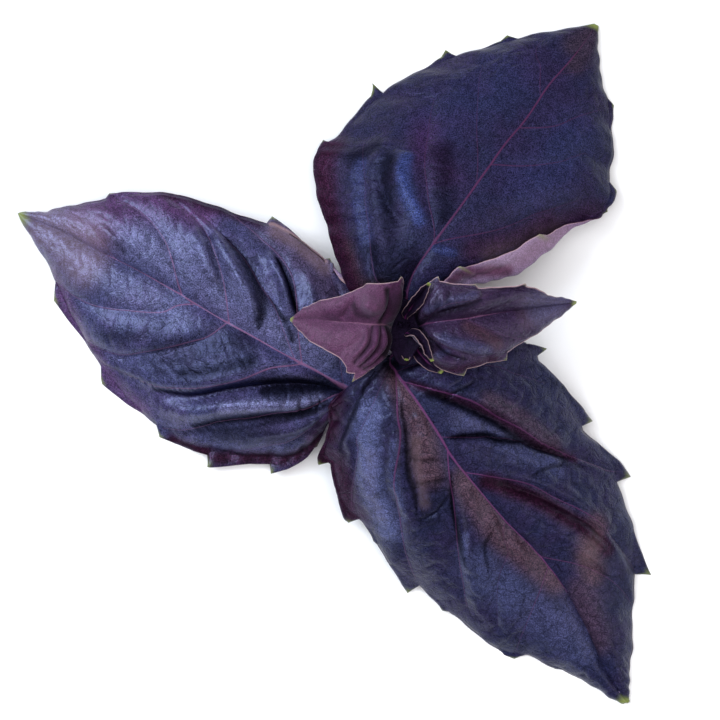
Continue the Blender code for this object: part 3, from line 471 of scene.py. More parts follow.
YOUNG_LEFT_LEAF = dict(
    node="young_leaf_left", slot="leaf_pink", stations=200, rows=34, half_width=0.55, keel=0.35,
    stalk=[(9.8, 6.1, 15.0), (9.8, 6.1, 16.2)],
    ribs=[
        ((9.2, 4.4, 17.6), (9.7, 6.1, 17.2), (10.1, 7.9, 17.8)),
        ((8.0, 1.2, 19.8), (9.5, 6.1, 19.2), (11.0, 11.2, 20.9)),
        ((6.2, -0.8, 21.4), (8.5, 6.4, 21.3), (11.4, 13.2, 23.0)),
        ((3.2, -1.2, 21.9), (6.6, 6.5, 22.0), (8.6, 12.9, 23.9)),
        ((1.5, 1.0, 21.9), (3.6, 6.7, 21.5), (5.5, 12.6, 23.6)),
        ((-1.1, 2.6, 21.4), (0.4, 7.0, 20.5), (2.0, 11.1, 22.2)),
        ((-3.6, 4.0, 20.3), (-3.0, 7.4, 19.4), (-2.0, 10.1, 20.4)),
        ((-5.4, 5.6, 19.1), (-5.1, 7.5, 18.7), (-4.6, 9.1, 19.1)),
    ],
    tip=(-7.0, 7.3, 18.2),
    left=dict(
        bow=0.5, teeth=[(2.65, 1.5, 0.6), (3.3, 0.5, 0.5)], turn=[],
        veins=[(0.3, [(0, 3.0), (0.5, 3.6), (1, 4.4)]), (0.3, [(0, 4.8), (1, 6.0)])],
        panels=[(0.2, 0.5), (0.15, 0.5), (0.1, 0.5)],
        folds=[
            (0.9, 0.4, 0.35, [(0.02, 1.7), (0.5, 1.3), (0.78, 1.7), (0.95, 2.3)]),
            (0.8, 0.4, 0.3, [(0.04, 2.6), (0.38, 2.4), (0.63, 2.6), (0.85, 2.9)]),
            (0.7, 0.4, 0.3, [(0.07, 3.3), (0.34, 3.0), (0.57, 3.1), (0.8, 3.4)]),
            (0.8, 0.3, 0.25, [(0.05, 2.1), (0.4, 1.8), (0.7, 2.1), (0.9, 2.6)]),
            (-0.4, 0.6, 0.6, [(0.1, 0.7), (0.5, 0.9), (0.8, 1.2)]),
        ],
        # Dark tints below are painted shade.
        tints=[("dark", 1.0, 1.6, [(0.0, 0.2), (0.5, 0.3), (1.0, 0.6)]),
               ("dark", 0.95, 1.1, [(0.0, 1.7), (0.4, 1.25), (0.7, 1.5)]),
               ("wine", 0.8, 2.0, [(0.1, 2.0), (0.35, 2.0), (0.7, 2.2)]),
               ("wine", 0.8, 0.8, [(0.2, 1.4), (0.6, 1.2), (0.9, 1.6)]),
               ("dark", 0.7, 0.3, [(0.03, 2.35), (0.39, 2.1), (0.66, 2.35), (0.87, 2.7)]),
               ("dark", 0.65, 0.3, [(0.05, 2.95), (0.36, 2.7), (0.6, 2.85), (0.82, 3.1)]),
               ("dark", 0.7, 0.25, [(0.03, 1.9), (0.45, 1.55), (0.74, 1.9), (0.92, 2.45)])],
    ),
    right=dict(
        bow=0.6, teeth=[(2.25, 0.8, 0.6), (4.05, 0.3, 0.6)], turn=[],
        bumps=[(1.7, 1.2, [(0.5, 3.3), (0.54, 3.5)])],
        veins=[(0.3, [(0, 3.8), (0.5, 4.6), (1, 5.4)])],
        panels=[(0.1, 0.5), (0.1, 0.5)],
        folds=[
            (-0.8, 0.6, 0.6, [(0.05, 2.6), (0.3, 2.3), (0.55, 2.4), (0.9, 2.7)]),
            (0.6, 0.5, 0.5, [(0.1, 1.5), (0.59, 1.8), (0.93, 2.2)]),
            (-0.5, 0.6, 0.6, [(0.1, 4.7), (0.4, 4.6), (0.8, 4.4)]),
        ],
        # Dark tints below are painted shade.
        tints=[
            ("wine", 0.6, 2.0, [(0.15, 5.2), (0.2, 4.2), (0.2, 3.0)]),
            ("wine", 0.9, 1.6, [(0.2, 1.4), (0.6, 1.6), (0.95, 1.9)]),
            ("dark", 1.0, 2.3, [(0.0, 0.6), (0.5, 0.9), (0.7, 1.1), (0.95, 1.2)]),
            ("wine", 1.0, 2.4, [(0.0, 1.6), (0.5, 1.9), (0.9, 2.2)]),
            ("dark", 0.85, 0.6, [(0.05, 2.5), (0.3, 2.35), (0.55, 2.5), (0.85, 2.8)]),
            ("dark", 0.5, 0.7, [(0.2, 3.4), (0.28, 4.0), (0.5, 4.3)]),
        ],
    ),
)
YOUNG_RIGHT_LEAF = dict(
    node="young_leaf_right", slot="leaf_purple_young", stations=220, rows=34, half_width=0.55,
    keel=0.35,
    stalk=[(13.8, 6.1, 15.0), (13.8, 6.1, 15.9)],
    ribs=[
        ((13.9, 7.8, 16.9), (14.0, 6.1, 16.5), (13.9, 4.4, 16.9)),
        ((14.4, 11.6, 20.6), (14.6, 6.3, 18.6), (14.9, 2.4, 19.2)),
        ((16.4, 13.2, 23.3), (16.2, 6.7, 20.9), (16.4, 0.6, 20.9)),
        ((19.4, 12.9, 23.6), (18.6, 7.1, 21.9), (19.0, -0.9, 21.1)),
        ((24.6, 11.9, 23.0), (22.7, 7.6, 21.3), (24.9, 0.2, 20.3)),
        ((29.8, 12.2, 20.8), (27.9, 8.5, 19.5), (29.2, 2.5, 18.9)),
        ((34.3, 12.0, 18.6), (32.8, 9.2, 17.7), (33.8, 5.3, 17.3)),
        ((37.8, 11.2, 17.0), (37.2, 9.8, 16.7), (37.4, 7.8, 16.5)),
    ],
    tip=(40.4, 10.2, 15.9),
    left=dict(
        bow=1.0, teeth=[(2.3, 0.7, 0.6), (3.7, 0.6, 0.6), (5.2, 0.6, 0.6)],
        trim=[(4.4, 0.0), (5.2, -0.1), (5.6, -0.3), (6.4, -0.7), (7.0, -0.4), (8, -0.1)],
        turn=[(3.6, 0.0, 0), (4.6, 0.7, 70), (5.6, 0.7, 70), (6.4, 0.0, 0)],
        veins=[(0.5, [(0, 1.4), (0.4, 2.6), (0.7, 3.9), (1, 4.6)]), (0.4, [(0, 4.2), (1, 6.2)])],
        panels=[(0.4, 0.5), (0.3, 0.4), (0.15, 0.5)],
        folds=[
            (0.55, 0.5, 0.9, [(0.3, 1.5), (0.46, 2.7), (0.64, 3.5), (0.85, 4.0)]),
            (-0.4, 0.5, 0.4, [(0.2, 2.4), (0.4, 3.4), (0.7, 4.1)]),
            (0.25, 0.25, 0.25, [(0.3, 2.2), (0.62, 2.1)]),
            (0.25, 0.25, 0.25, [(0.34, 2.8), (0.7, 2.7)]),
            (0.15, 0.2, 0.2, [(0.45, 3.3), (0.78, 3.1)]),
        ],
        # Dark tints and slits below are painted shade; bloom is a painted blue sheen; cream a
        # painted glint.
        tints=[("bloom", 0.5, 0.7, [(0.36, 1.9), (0.48, 2.8), (0.64, 3.4), (0.8, 3.8)]),
               ("bloom", 0.7, 2.4, [(0.3, 6.0), (0.3, 6.9)]),
               ("shade_slit", 0.35, 0.5, [(0.26, 2.5), (0.72, 2.4)]),
               ("shade_slit", 0.35, 0.5, [(0.36, 3.05), (0.8, 2.9)]),
               ("dark", 1.0, 2.0, [(0.0, 0.2), (0.5, 0.4), (0.8, 0.5)]),
               ("shade_slit", 0.6, 0.7, [(0.1, 1.2), (0.22, 2.5), (0.4, 3.5), (0.66, 4.1)]),
               ("cream", 0.05, 2.0, [(0.3, 5.8), (0.3, 6.9)])],
    ),
    right=dict(
        bow=0.9, teeth=[(3.4, 1.1, 0.6), (4.75, 1.3, 0.7)], turn=[],
        veins=[(0.5, [(0, 0.6), (0.33, 1.9), (0.47, 2.8), (0.66, 3.5), (0.9, 4.3)]),
               (0.4, [(0, 3.8), (1, 5.6)])],
        panels=[(0.3, 0.5), (0.5, 0.3), (0.15, 0.5)],
        folds=[
            (0.5, 1.1, 0.4, [(0.3, 1.8), (0.46, 2.9), (0.64, 3.6), (0.82, 4.1)]),
            (-0.7, 0.4, 0.6, [(0.42, 1.8), (0.62, 2.7), (0.8, 3.4)]),
            (0.35, 0.5, 0.5, [(0.62, 1.6), (0.75, 2.5), (0.9, 3.2)]),
        ],
        # Dark tints and slits below are painted shade; bloom is a painted blue sheen; cream a
        # painted glint.
        tints=[("dark", 1.0, 2.0, [(0.0, 0.2), (0.5, 0.5), (0.9, 0.9)]),
               ("dark", 0.5, 0.8, [(0.2, 1.2), (0.45, 1.5), (0.7, 2.0)]),
               ("bloom", 0.6, 0.9, [(0.36, 2.9), (0.55, 3.6), (0.75, 4.2)]),
               ("bloom", 0.7, 2.0, [(0.3, 6.2), (0.3, 6.9)]),
               ("cream", 0.05, 2.0, [(0.3, 5.8), (0.3, 6.9)]),
               ("shade_slit", 0.6, 0.4, [(0.38, 1.6), (0.62, 2.7), (0.84, 3.6)]),
               ("brown", 0.8, 1.1, [(0.19, 3.8), (0.4, 4.2), (0.7, 4.6)]),
               ("bloom", 0.6, 0.6, [(0.72, 2.6), (0.64, 3.0)]),
               ("wine", 0.7, 0.8, [(1.0, 2.0), (1.0, 3.2), (1.0, 4.4)])],
    ),
)
INNER_LEAVES = [
    dict(
        node="inner_leaf_upper",
        stalk=[(12.0, 7.5, 18.2)],
        ribs=[
            ((11.6, 8.3, 19.4), (12.1, 8.0, 18.9), (12.6, 7.9, 19.5)),
            ((12.1, 9.3, 21.6), (12.6, 8.8, 20.1), (13.5, 8.6, 21.4)),
            ((13.2, 10.8, 23.5), (13.6, 10.3, 21.8), (14.7, 10.0, 23.2)),
            ((14.5, 12.3, 24.7), (14.9, 12.0, 23.6), (15.5, 11.8, 24.4)),
        ],
        tip=(15.9, 13.2, 25.0),
    ),
    dict(
        node="inner_leaf_lower",
        stalk=[(12.1, 5.0, 18.2)],
        ribs=[
            ((13.1, 5.6, 19.9), (12.6, 4.9, 19.2), (12.2, 4.6, 19.9)),
            ((14.3, 5.2, 21.9), (13.5, 4.2, 20.7), (13.2, 4.6, 21.9)),
            ((15.4, 3.6, 23.2), (14.5, 3.0, 22.2), (14.4, 3.3, 23.2)),
            ((16.0, 1.9, 23.8), (15.4, 1.6, 23.1), (15.2, 1.7, 23.6)),
        ],
        tip=(16.4, 0.4, 23.9),
    ),
    dict(
        node="side_shoot_leaf_1",
        stalk=[(13.9, 2.6, 16.4)],
        ribs=[
            ((14.8, 2.4, 17.0), (14.3, 1.8, 16.7), (13.6, 1.5, 17.0)),
            ((16.0, 1.5, 17.9), (15.3, 0.6, 17.3), (14.4, 0.3, 17.8)),
            ((17.2, 0.1, 18.4), (16.7, -0.6, 17.9), (16.1, -1.0, 18.2)),
        ],
        tip=(18.1, -1.5, 18.6),
    ),
    dict(
        node="side_shoot_leaf_2",
        stalk=[(12.2, 2.5, 16.4)],
        ribs=[
            ((12.6, 1.8, 17.0), (12.2, 1.7, 16.8), (11.8, 1.9, 17.0)),
            ((12.7, 1.1, 18.0), (12.2, 0.9, 17.6), (11.6, 1.2, 18.0)),
        ],
        tip=(12.2, 0.6, 18.6),
    ),
]
PLAIN_HALF = dict(
    bow=0.0, teeth=[], turn=[], veins=[(0.3, [(0, 1.0), (1, 2.0)])],
    panels=[(0.0, 0.5), (0.0, 0.5)], folds=[], tints=[],
)

STEM_PATH = [
    (11.8, 6.4, 17.4), (11.9, 5.9, 14.8), (12.0, 4.6, 12.0), (12.4, 0.6, 9.7),
    (13.3, -5.6, 7.4), (14.3, -11.0, 4.8), (15.6, -16.4, 1.75),
]
STEM_RADIUS = (1.10, 1.55)


# -------------------------------------------------------------------------------------- settings
def length_setting(name, description, default):
    """A length that a user may change, kept in metres."""
    return bpy.props.FloatProperty(
        name=name, description=description, default=default, min=0.0, unit="LENGTH", precision=5)


def colour_setting(name, description, default):
    """A colour that a user may change."""
    return bpy.props.FloatVectorProperty(
        name=name, description=description, default=default, size=3, min=0.0, max=1.0,
        subtype="COLOR")


class BasilSizes(bpy.types.PropertyGroup):
    """Sizes shared by the leaves."""

    thickness: length_setting("Leaf thickness", "Thickness of a large leaf", 0.00038)
    young_thickness: length_setting("Young leaf thickness", "Thickness of a young leaf", 0.00032)
    veinlet_cell: length_setting("Veinlet cell", "Width of one cell of the fine veins", 0.0019)
    swelling: bpy.props.FloatProperty(
        name="Swelling", description="How far the blade swells between veins", default=1.25,
        min=0.0, max=2.0, subtype="FACTOR")


class BasilColours(bpy.types.PropertyGroup):
    """Colours of the leaves, the stem and the stage."""

    skin: colour_setting("Upper skin", "Upper face of the right leaves", (0.013, 0.013, 0.038))
    # The left leaf's skin is lighter and bluer than the others': its own colour plus painted sheen.
    lit_lavender: colour_setting("Lavender", "Upper face of the left leaf", (0.036, 0.038, 0.100))
    plum: colour_setting("Plum", "Purple areas of the upper face", (0.030, 0.010, 0.042))
    wine: colour_setting("Wine", "Dark red areas and turned margins", (0.028, 0.006, 0.020))
    brown: colour_setting("Brown", "Brown areas of the upper face", (0.068, 0.038, 0.056))
    # Bloom is a painted blue sheen: a lighter blue where the leaves face the key light.
    bloom: colour_setting("Bloom", "Blue waxy areas", (0.026, 0.036, 0.120))
    vein: colour_setting("Veins", "Midrib and side veins", (0.085, 0.014, 0.075))
    under: colour_setting("Underside", "Lower face of the leaves", (0.248, 0.177, 0.306))
    pink: colour_setting("Pink", "Dusty pink of the young left leaf", (0.087, 0.032, 0.076))
    green: colour_setting("Green", "Tips of the teeth", (0.200, 0.240, 0.060))
    stem: colour_setting("Stem", "Skin of the stem", (0.100, 0.040, 0.085))
    floor: colour_setting("Floor", "The pale surface", (0.900, 0.905, 0.915))


# ---------------------------------------------------------------------------------- small helpers
def unit(vectors):
    """The same directions with length 1."""
    return vectors / np.maximum(np.linalg.norm(vectors, axis=-1, keepdims=True), 1e-12)


def bell(distance, width):
    """1 at distance 0 and falling evenly: exp(-(distance / width)^2)."""
    return np.exp(-((distance / width) ** 2))


def smooth(low, high, x):
    """0 below low, 1 above high and an even S curve between them: 3t^2 - 2t^3."""
    t = np.clip((x - low) / (high - low), 0, 1)
    return t * t * (3 - 2 * t)


def rail(points, at):
    """A smooth curve through the points, read at fractional point numbers.

    Between two points it is the cubic whose slope at each is half the step between its neighbours.
    """
    knots = np.asarray(points, float)
    slopes = np.gradient(knots, axis=0)
    first = np.clip(np.floor(at).astype(int), 0, len(knots) - 2)
    t = (at - first)[:, None]
    return (
        (2 * t**3 - 3 * t**2 + 1) * knots[first]
        + (t**3 - 2 * t**2 + t) * slopes[first]
        + (3 * t**2 - 2 * t**3) * knots[first + 1]
        + (t**3 - t**2) * slopes[first + 1]
    )


def traced(points, count=28):
    """Dense (rib, row) pairs along a line that is given by a few (row, rib) points."""
    line = rail(points, np.linspace(0, len(points) - 1, count))
    return line[:, 1], line[:, 0]


def on_sheet(sheet, places, rows, ribs, across):
    """Points of a sheet at (rib, row) pairs, read evenly between its stations and rows."""
    i = np.clip(np.interp(ribs, places, np.arange(len(places))), 0, len(places) - 1.001)
    j = np.clip(np.interp(across, rows, np.arange(len(rows))), 0, len(rows) - 1.001)
    a, b = np.floor(i).astype(int), np.floor(j).astype(int)
    u, v = (i - a)[:, None], (j - b)[:, None]
    near = sheet[a, b] * (1 - v) + sheet[a, b + 1] * v
    far = sheet[a + 1, b] * (1 - v) + sheet[a + 1, b + 1] * v
    return near * (1 - u) + far * u


def to_line(sheet, chain):
    """Shortest distance of each point of a sheet from a chain of short straight pieces.

    Also how far along the chain the nearest place is, from 0 to 1.
    """
    points = sheet.reshape(-1, 1, 3)
    start, step = chain[:-1], np.diff(chain, axis=0)
    t = np.clip(
        ((points - start) * step).sum(2) / np.maximum((step**2).sum(1), 1e-12), 0, 1)
    gap = np.linalg.norm(points - start - step * t[..., None], axis=2)
    best = gap.argmin(1)
    pick = np.arange(len(best))
    along = (best + t[pick, best]) / len(step)
    return gap[pick, best].reshape(sheet.shape[:2]), along.reshape(sheet.shape[:2])


def lengths_along(points):
    """Distance from the first point of a line to each of its points."""
    return np.concatenate([[0], np.cumsum(np.linalg.norm(np.diff(points, axis=0), axis=1))])


# --------------------------------------------------------------------------------- leaf surfaces
def stations_of(leaf):
    """Rib numbers of the cross lines: even steps, moved onto each tooth's point and notch."""
    last, first = len(leaf["ribs"]), -len(leaf["stalk"])
    places = np.linspace(first, last, leaf["stations"])
    for rib, _length, _foot in leaf["left"]["teeth"] + leaf["right"]["teeth"]:
        for wanted in (rib, rib + TOOTH_DROP / 2, rib + TOOTH_DROP):
            places[np.abs(places - wanted).argmin()] = wanted
    return np.unique(places)


def tooth_length(teeth, places):
    """Length of the teeth at each place: a slow rise to the point, then a steep drop."""
    length = np.zeros_like(places)
    for rib, size, foot in teeth:
        rise = np.clip(1 - (rib - places) / foot, 0, 1) ** 1.25
        drop = np.clip(1 - (places - rib) / TOOTH_DROP, 0, 1)
        length = np.maximum(length, size * np.where(places <= rib, rise, drop))
    return length


def read_table(table, column, places):
    """A column of a trim or turn table, joined by straight lines; 0 outside the table."""
    if not table:
        return np.zeros_like(places)
    ribs = [row[0] for row in table]
    return np.interp(places, ribs, [row[column] for row in table], left=0, right=0)


def plain_half(leaf, half, places, mid, edge, thickness):
    """Half a blade before its relief, as (stations, rows, 3) points, and its row numbers.

    On the blade: midrib + (margin - midrib) * s + up * bow * sin(pi * place)^0.7 * 4s(1 - s), where
    the place goes from 0 at the blade's base to 1 at its tip. Outside the margin the strip goes on
    the way the blade went from the row AIM, or round an arc where it is turned. It narrows on the
    stalk and at the tip, and never runs below the floor.
    """
    last = len(leaf["ribs"])
    edge = edge + unit(edge - mid) * read_table(half.get("trim"), 1, places)[:, None]
    dome = half["bow"] * np.sin(math.pi * np.clip(places / last, 0, 1)) ** 0.7
    s = (np.linspace(0, 1, leaf["rows"] + 1) ** ROW_CROWDING)[None, :, None]
    blade = mid[:, None] + (edge - mid)[:, None] * s
    blade = blade + UP * dome[:, None, None] * 4 * s * (1 - s)
    angle = np.radians(read_table(half["turn"], 2, places))
    bent = np.abs(angle)
    teeth = tooth_length(half["teeth"], places)
    lip = LIP * np.clip((places + 0.6) / 0.6, STALK_LIP, 1)
    lip = lip * np.clip((last - places) / 1.5, TIP_LIP, 1)
    width = lip + read_table(half["turn"], 1, places) + teeth
    inner = mid + (edge - mid) * AIM + UP * (dome * 4 * AIM * (1 - AIM))[:, None]
    outward = unit(edge - inner)
    deepest = np.minimum((thickness / 2 - edge[:, 2]) / width, 0)
    outward[:, 2] = np.maximum(outward[:, 2], deepest)
    outward = unit(outward)
    forward = unit(np.gradient(edge, axis=0))
    normal = unit(np.cross(outward, forward))
    normal *= np.sign(normal[:, 2:3])
    strips = FLAT_STRIPS + int(ROUND_STRIPS * min(float(bent.max()) / 3.0, 1))
    part = (np.arange(1, strips + 1) / strips)[None, :]
    radius = np.minimum(ROLL_RADIUS, 0.6 * width / np.maximum(bent, 0.2))[:, None]
    along = width[:, None] * part
    round_part = np.minimum(along, radius * bent[:, None])
    straight = along - round_part
    turned = round_part / radius
    out = radius * np.sin(turned) + straight * np.cos(turned)
    rise = radius * (1 - np.cos(turned)) + straight * np.sin(turned)
    rise = rise * np.sign(angle)[:, None]
    lean = half.get("lean", TOOTH_LEAN) * teeth[:, None] * part
    strip = (
        blade[:, -1:] + outward[:, None] * out[..., None] + normal[:, None] * rise[..., None]
        + forward[:, None] * lean[..., None]
    )
    return np.concatenate([blade, strip], axis=1), np.concatenate([s[0, :, 0], 1 + part[0]])


def half_relief(leaf, half, places, rows, sheet, swelling):
    """Masks of half a blade by name, with the height of its relief among them.

    Between two veins the blade swells by height * sin(pi * phase^k), where the phase goes from 0 at
    the stemward vein to 1 at the tipward one and k puts the top at the crest. Rungs between the
    veins divide that swelling into cushions: quilt * sin(pi * phase)^0.7 *
    |sin(pi * (ladder / gap + sway))|^0.6, where the ladder is a slanted way over the blade. A side
    vein is a groove depth * exp(-(distance / width)^2). A fold has the same form
    upwards, times sqrt(4t(1 - t)) along its line; a bump keeps its height. Distances are measured
    on the sheet, from the line itself. The field is the distance from the nearest vein, with a sign
    that changes at every vein. A tint is strength * exp(-(distance / width)^3); dark tints are
    painted shade, bloom tints a painted blue sheen, and cream tints a pale colour that also
    paints glints. A slit is a line of painted shade: a dark tint whose width is times
    0.25 + 0.75 sqrt(4t(1 - t)). Green marks the tips.
    """
    last = len(leaf["ribs"])
    shape = sheet.shape[:2]
    rib = np.broadcast_to(places[:, None], shape)
    row = np.broadcast_to(rows[None, :], shape)
    from_mid = np.linalg.norm(sheet - sheet[:, :1], axis=2)

    def from_line(points):
        """Distance from a line, the part of it at the nearest place, and its own places."""
        ribs, across = traced(points)
        return *to_line(sheet, on_sheet(sheet, places, rows, ribs, across)), ribs, across

    height, force, field = np.zeros(shape), np.zeros(shape), np.full(shape, FAR)
    borders = [np.zeros(len(rows))]
    for number, (strength, points) in enumerate(half["veins"]):
        gap, along, ribs, across = from_line(points)
        border = np.interp(rows, across, ribs)
        borders.append(np.maximum(border, borders[-1] + 0.15))
        side = np.where(rib >= border[None, :], 1.0, -1.0)
        nearer = gap < np.abs(field)
        field = np.where(nearer, gap * side * (-1.0) ** number, field)
        force = np.where(nearer, strength * (1 - VEIN_FADE * along), force)
    borders.append(np.full(len(rows), float(last)))
    over = np.clip(4 * row * (1 - row), 0, 1) ** 0.6 * swelling
    spine = lengths_along(sheet[:, 0])[:, None]
    ladder = RUNG_SLANT[0] * from_mid + RUNG_SLANT[1] * spine
    for number, (tall, crest) in enumerate(half["panels"]):
        low, high = borders[number], borders[number + 1]
        phase = np.clip((rib - low) / np.maximum(high - low, 0.2), 0, 1)
        swell = np.sin(math.pi * phase ** (math.log(0.5) / math.log(crest)))
        sway = 0.45 * np.sin(5.0 * phase + 2.4 * number) + 0.2 * np.sin(2.1 * spine + number)
        rungs = np.abs(np.sin(math.pi * (ladder / RUNG_GAP + sway)))
        quilt = half.get("quilt", QUILT) * np.sin(math.pi * phase) ** 0.7 * rungs ** 0.6
        height += (tall * swell + quilt) * over
    height -= GROOVE[0] * force * bell(field, GROOVE[1])
    for tall, tipward, stemward, points in half["folds"]:
        gap, along, ribs, across = from_line(points)
        order = np.argsort(across)
        side = rib - np.interp(rows, across[order], ribs[order])[None, :]
        width = np.where(side >= 0, tipward, stemward)
        ends = np.clip(4 * along * (1 - along), 0, 1) ** 0.5
        height += swelling * tall * ends * bell(gap, width)
    for tall, width, points in half.get("bumps", ()):
        height += swelling * tall * bell(from_line(points)[0], width)
    waves = sum(tall * np.sin(places * rate + start) for tall, rate, start in WAVES)[:, None]
    height += waves * np.clip(row, 0, 1) ** 4 * smooth(0, 1.5, rib) * min(last / LARGE, 1)

    # Dark tints and slits paint shade, bloom tints paint a blue sheen, cream tints paint glints
    # too.
    masks = dict.fromkeys(TINTS, 0.0)
    for kind, strength, wide, points in half["tints"]:
        gap, along = from_line(points)[:2]
        if kind == "shade_slit":
            kind, wide = "dark", wide * (0.25 + 0.75 * np.sqrt(4 * along * (1 - along)))
        masks[kind] = np.maximum(masks[kind], strength * np.exp(-((gap / wide) ** 3)))
    masks = {kind: np.broadcast_to(mask, shape) for kind, mask in masks.items()}
    tip = smooth(last - 0.4, last - 0.05, rib)
    for tooth, size, _foot in half["teeth"]:
        point = bell(rib - tooth, 0.07) * smooth(1.55, 2.0, row)
        tip = np.maximum(tip, point * min(size / 1.5, 0.9))
    return dict(masks, green=tip, relief=height, field=field, force=force, midrib=from_mid)


def leaf_rails(leaf):
    """The leaf's three rails of points: left margin, midrib and right margin."""
    stalk = [np.array(point) for point in leaf["stalk"]]
    ribs = [tuple(np.array(point) for point in rib) for rib in leaf["ribs"]]
    tip = np.array(leaf["tip"])
    side = unit(ribs[0][0] - ribs[0][2]) * leaf["half_width"]
    end_side = unit(ribs[-1][0] - ribs[-1][2]) * 0.25
    left = [point + side for point in stalk] + [rib[0] for rib in ribs] + [tip + end_side]
    right = [point - side for point in stalk] + [rib[2] for rib in ribs] + [tip - end_side]
    return left, stalk + [rib[1] for rib in ribs] + [tip], right


def sheet_normals(sheet, centre):
    """Unit normals of a sheet, from the cross product of its two gradients, upper face up."""
    normal = unit(np.cross(np.gradient(sheet, axis=1), np.gradient(sheet, axis=0)))
    return -normal if normal[len(sheet) // 2, centre, 2] < 0 else normal


def leaf_surface(leaf, thickness, swelling):
    """Closed rings of points round a leaf, one ring a station; the masks; the sheet laid flat.

    The sheet is the plain half blades plus normal * relief. The upper face is the sheet plus
    normal * thickness / 2 and the lower face is on its other side, with the midrib's keel
    keel * exp(-(distance / width)^2) and the side veins standing out below it. Along the midrib the
    relief has a valley with a narrow crest in it, both of the same form.
    """
    places = stations_of(leaf)
    at = places + len(leaf["stalk"])
    last = len(leaf["ribs"])
    left, middle, right = (rail(points, at) for points in leaf_rails(leaf))
    halves = []
    for half, edge in ((leaf["left"], left), (leaf["right"], right)):
        sheet, rows = plain_half(leaf, half, places, middle, edge, thickness)
        halves.append((sheet, half_relief(leaf, half, places, rows, sheet, swelling)))
    (left_sheet, left_masks), (right_sheet, right_masks) = halves
    sheet = np.concatenate([left_sheet[:, :0:-1], right_sheet], axis=1)
    masks = {
        name: np.concatenate([left_masks[name][:, :0:-1], right_masks[name]], axis=1)
        for name in left_masks
    }
    centre = left_sheet.shape[1] - 1
    from_midrib = masks["midrib"]
    fade = np.clip((last - places) / last, 0, 1)[:, None] ** 0.8
    valley = CREST[0] * bell(from_midrib, CREST[1]) - VALLEY[0] * bell(from_midrib, VALLEY[1])
    on_blade = smooth(-0.5, 1.5, places)[:, None]
    relief = masks["relief"] + valley * fade * on_blade * min(last / LARGE, 1)
    sheet = sheet + sheet_normals(sheet, centre) * relief[..., None]
    keel = leaf["keel"] * fade * bell(from_midrib, KEEL_WIDTH)
    across = np.linalg.norm(np.diff(sheet, axis=1), axis=2)
    inward = np.concatenate([np.zeros((len(places), 1)), np.cumsum(across, axis=1)], axis=1)
    to_margin = np.minimum(inward, inward[:, -1:] - inward)
    thin, whole = THIN_EDGE
    half = thickness / 2 * (thin + (1 - thin) * smooth(0, whole, to_margin))
    sheet[..., 2] = np.maximum(sheet[..., 2], half + keel)
    normal = sheet_normals(sheet, centre)
    at_midrib = normal[:, centre:centre + 1]
    own = np.clip(from_midrib / 1.2, 0, 1)[..., None]
    steady = unit(normal * own + at_midrib * (1 - own))
    top = sheet + normal * half[..., None]
    veins_below = VEIN_BELOW[0] * masks["force"] * bell(masks["field"], VEIN_BELOW[1])
    bottom = sheet - steady * (half + veins_below)[..., None] - at_midrib * keel[..., None]
    bottom[..., 2] = np.maximum(bottom[..., 2], 0.0)
    masks["midrib"] = from_midrib * np.where(np.arange(sheet.shape[1]) < centre, -1.0, 1.0)
    masks["margin"] = to_margin
    masks["along"] = np.broadcast_to((places / last)[:, None], relief.shape)
    rings = np.concatenate([top, bottom[:, ::-1]], axis=1)
    values = {name: np.concatenate([masks[name], masks[name][:, ::-1]], axis=1) for name in KEPT}
    upwards = np.broadcast_to(lengths_along(middle)[:, None], inward.shape)
    return rings, values, np.stack([inward - inward[:, centre:centre + 1], upwards], axis=2)


# ---------------------------------------------------------------------------------------- meshes
def ring_quads(count, sides, closed=True):
    """Quads between rings of points; each ring's end joins its start when closed."""
    ring, column = np.meshgrid(
        np.arange(count - 1), np.arange(sides if closed else sides - 1), indexing="ij")
    after = (column + 1) % sides
    return np.stack([
        ring * sides + column, ring * sides + after,
        (ring + 1) * sides + after, (ring + 1) * sides + column], axis=-1).reshape(-1, 4)


def inside_out(points, quads):
    """Whether a closed shape's faces look inwards: the sign of the volume under its quads."""
    a, b, c, d = np.moveaxis((points - points.mean(0))[quads], 1, 0)
    return (a * (np.cross(b, c) + np.cross(c, d))).sum() < 0


def new_mesh(name, points, faces):
    """A smooth mesh from points and faces."""
    mesh = bpy.data.meshes.new(name)
    mesh.from_pydata(points, [], faces)
    mesh.shade_smooth()
    return mesh


def add_layer(mesh, label, values):
    """Keep a value for each point of a mesh."""
    layer = mesh.attributes.new(label, "FLOAT", "POINT")
    layer.data.foreach_set("value", np.ravel(values).astype(np.float32))


def closed_sheet_mesh(name, rings, values, flat):
    """A mesh from closed rings: quads between rings, and strips of quads on the two ends.

    Faces of the upper face take material 0 and those of the lower face material 1. The map lays the
    two faces side by side, each unrolled from its midrib.
    """
    count, sides = rings.shape[:2]
    half = sides // 2
    quads = ring_quads(count, sides)
    column = quads[:, 0] % sides
    step = np.arange(half - 1)
    cap = np.stack([step, step + 1, sides - 2 - step, sides - 1 - step], axis=-1)
    kind = np.concatenate([(column >= half) & (column < sides - 1), np.zeros(2 * len(cap), bool)])
    quads = np.concatenate([quads, cap[:, ::-1], cap + (count - 1) * sides])
    points = rings.reshape(-1, 3) * MM
    if inside_out(points, quads):
        quads = quads[:, ::-1]
    mesh = new_mesh(name, points, quads.tolist())
    mesh.polygons.foreach_set("material_index", kind.astype(np.int32))
    for label, value in values.items():
        add_layer(mesh, label, value)
    lay_out(mesh, quads, kind, flat, count, sides)
    return mesh


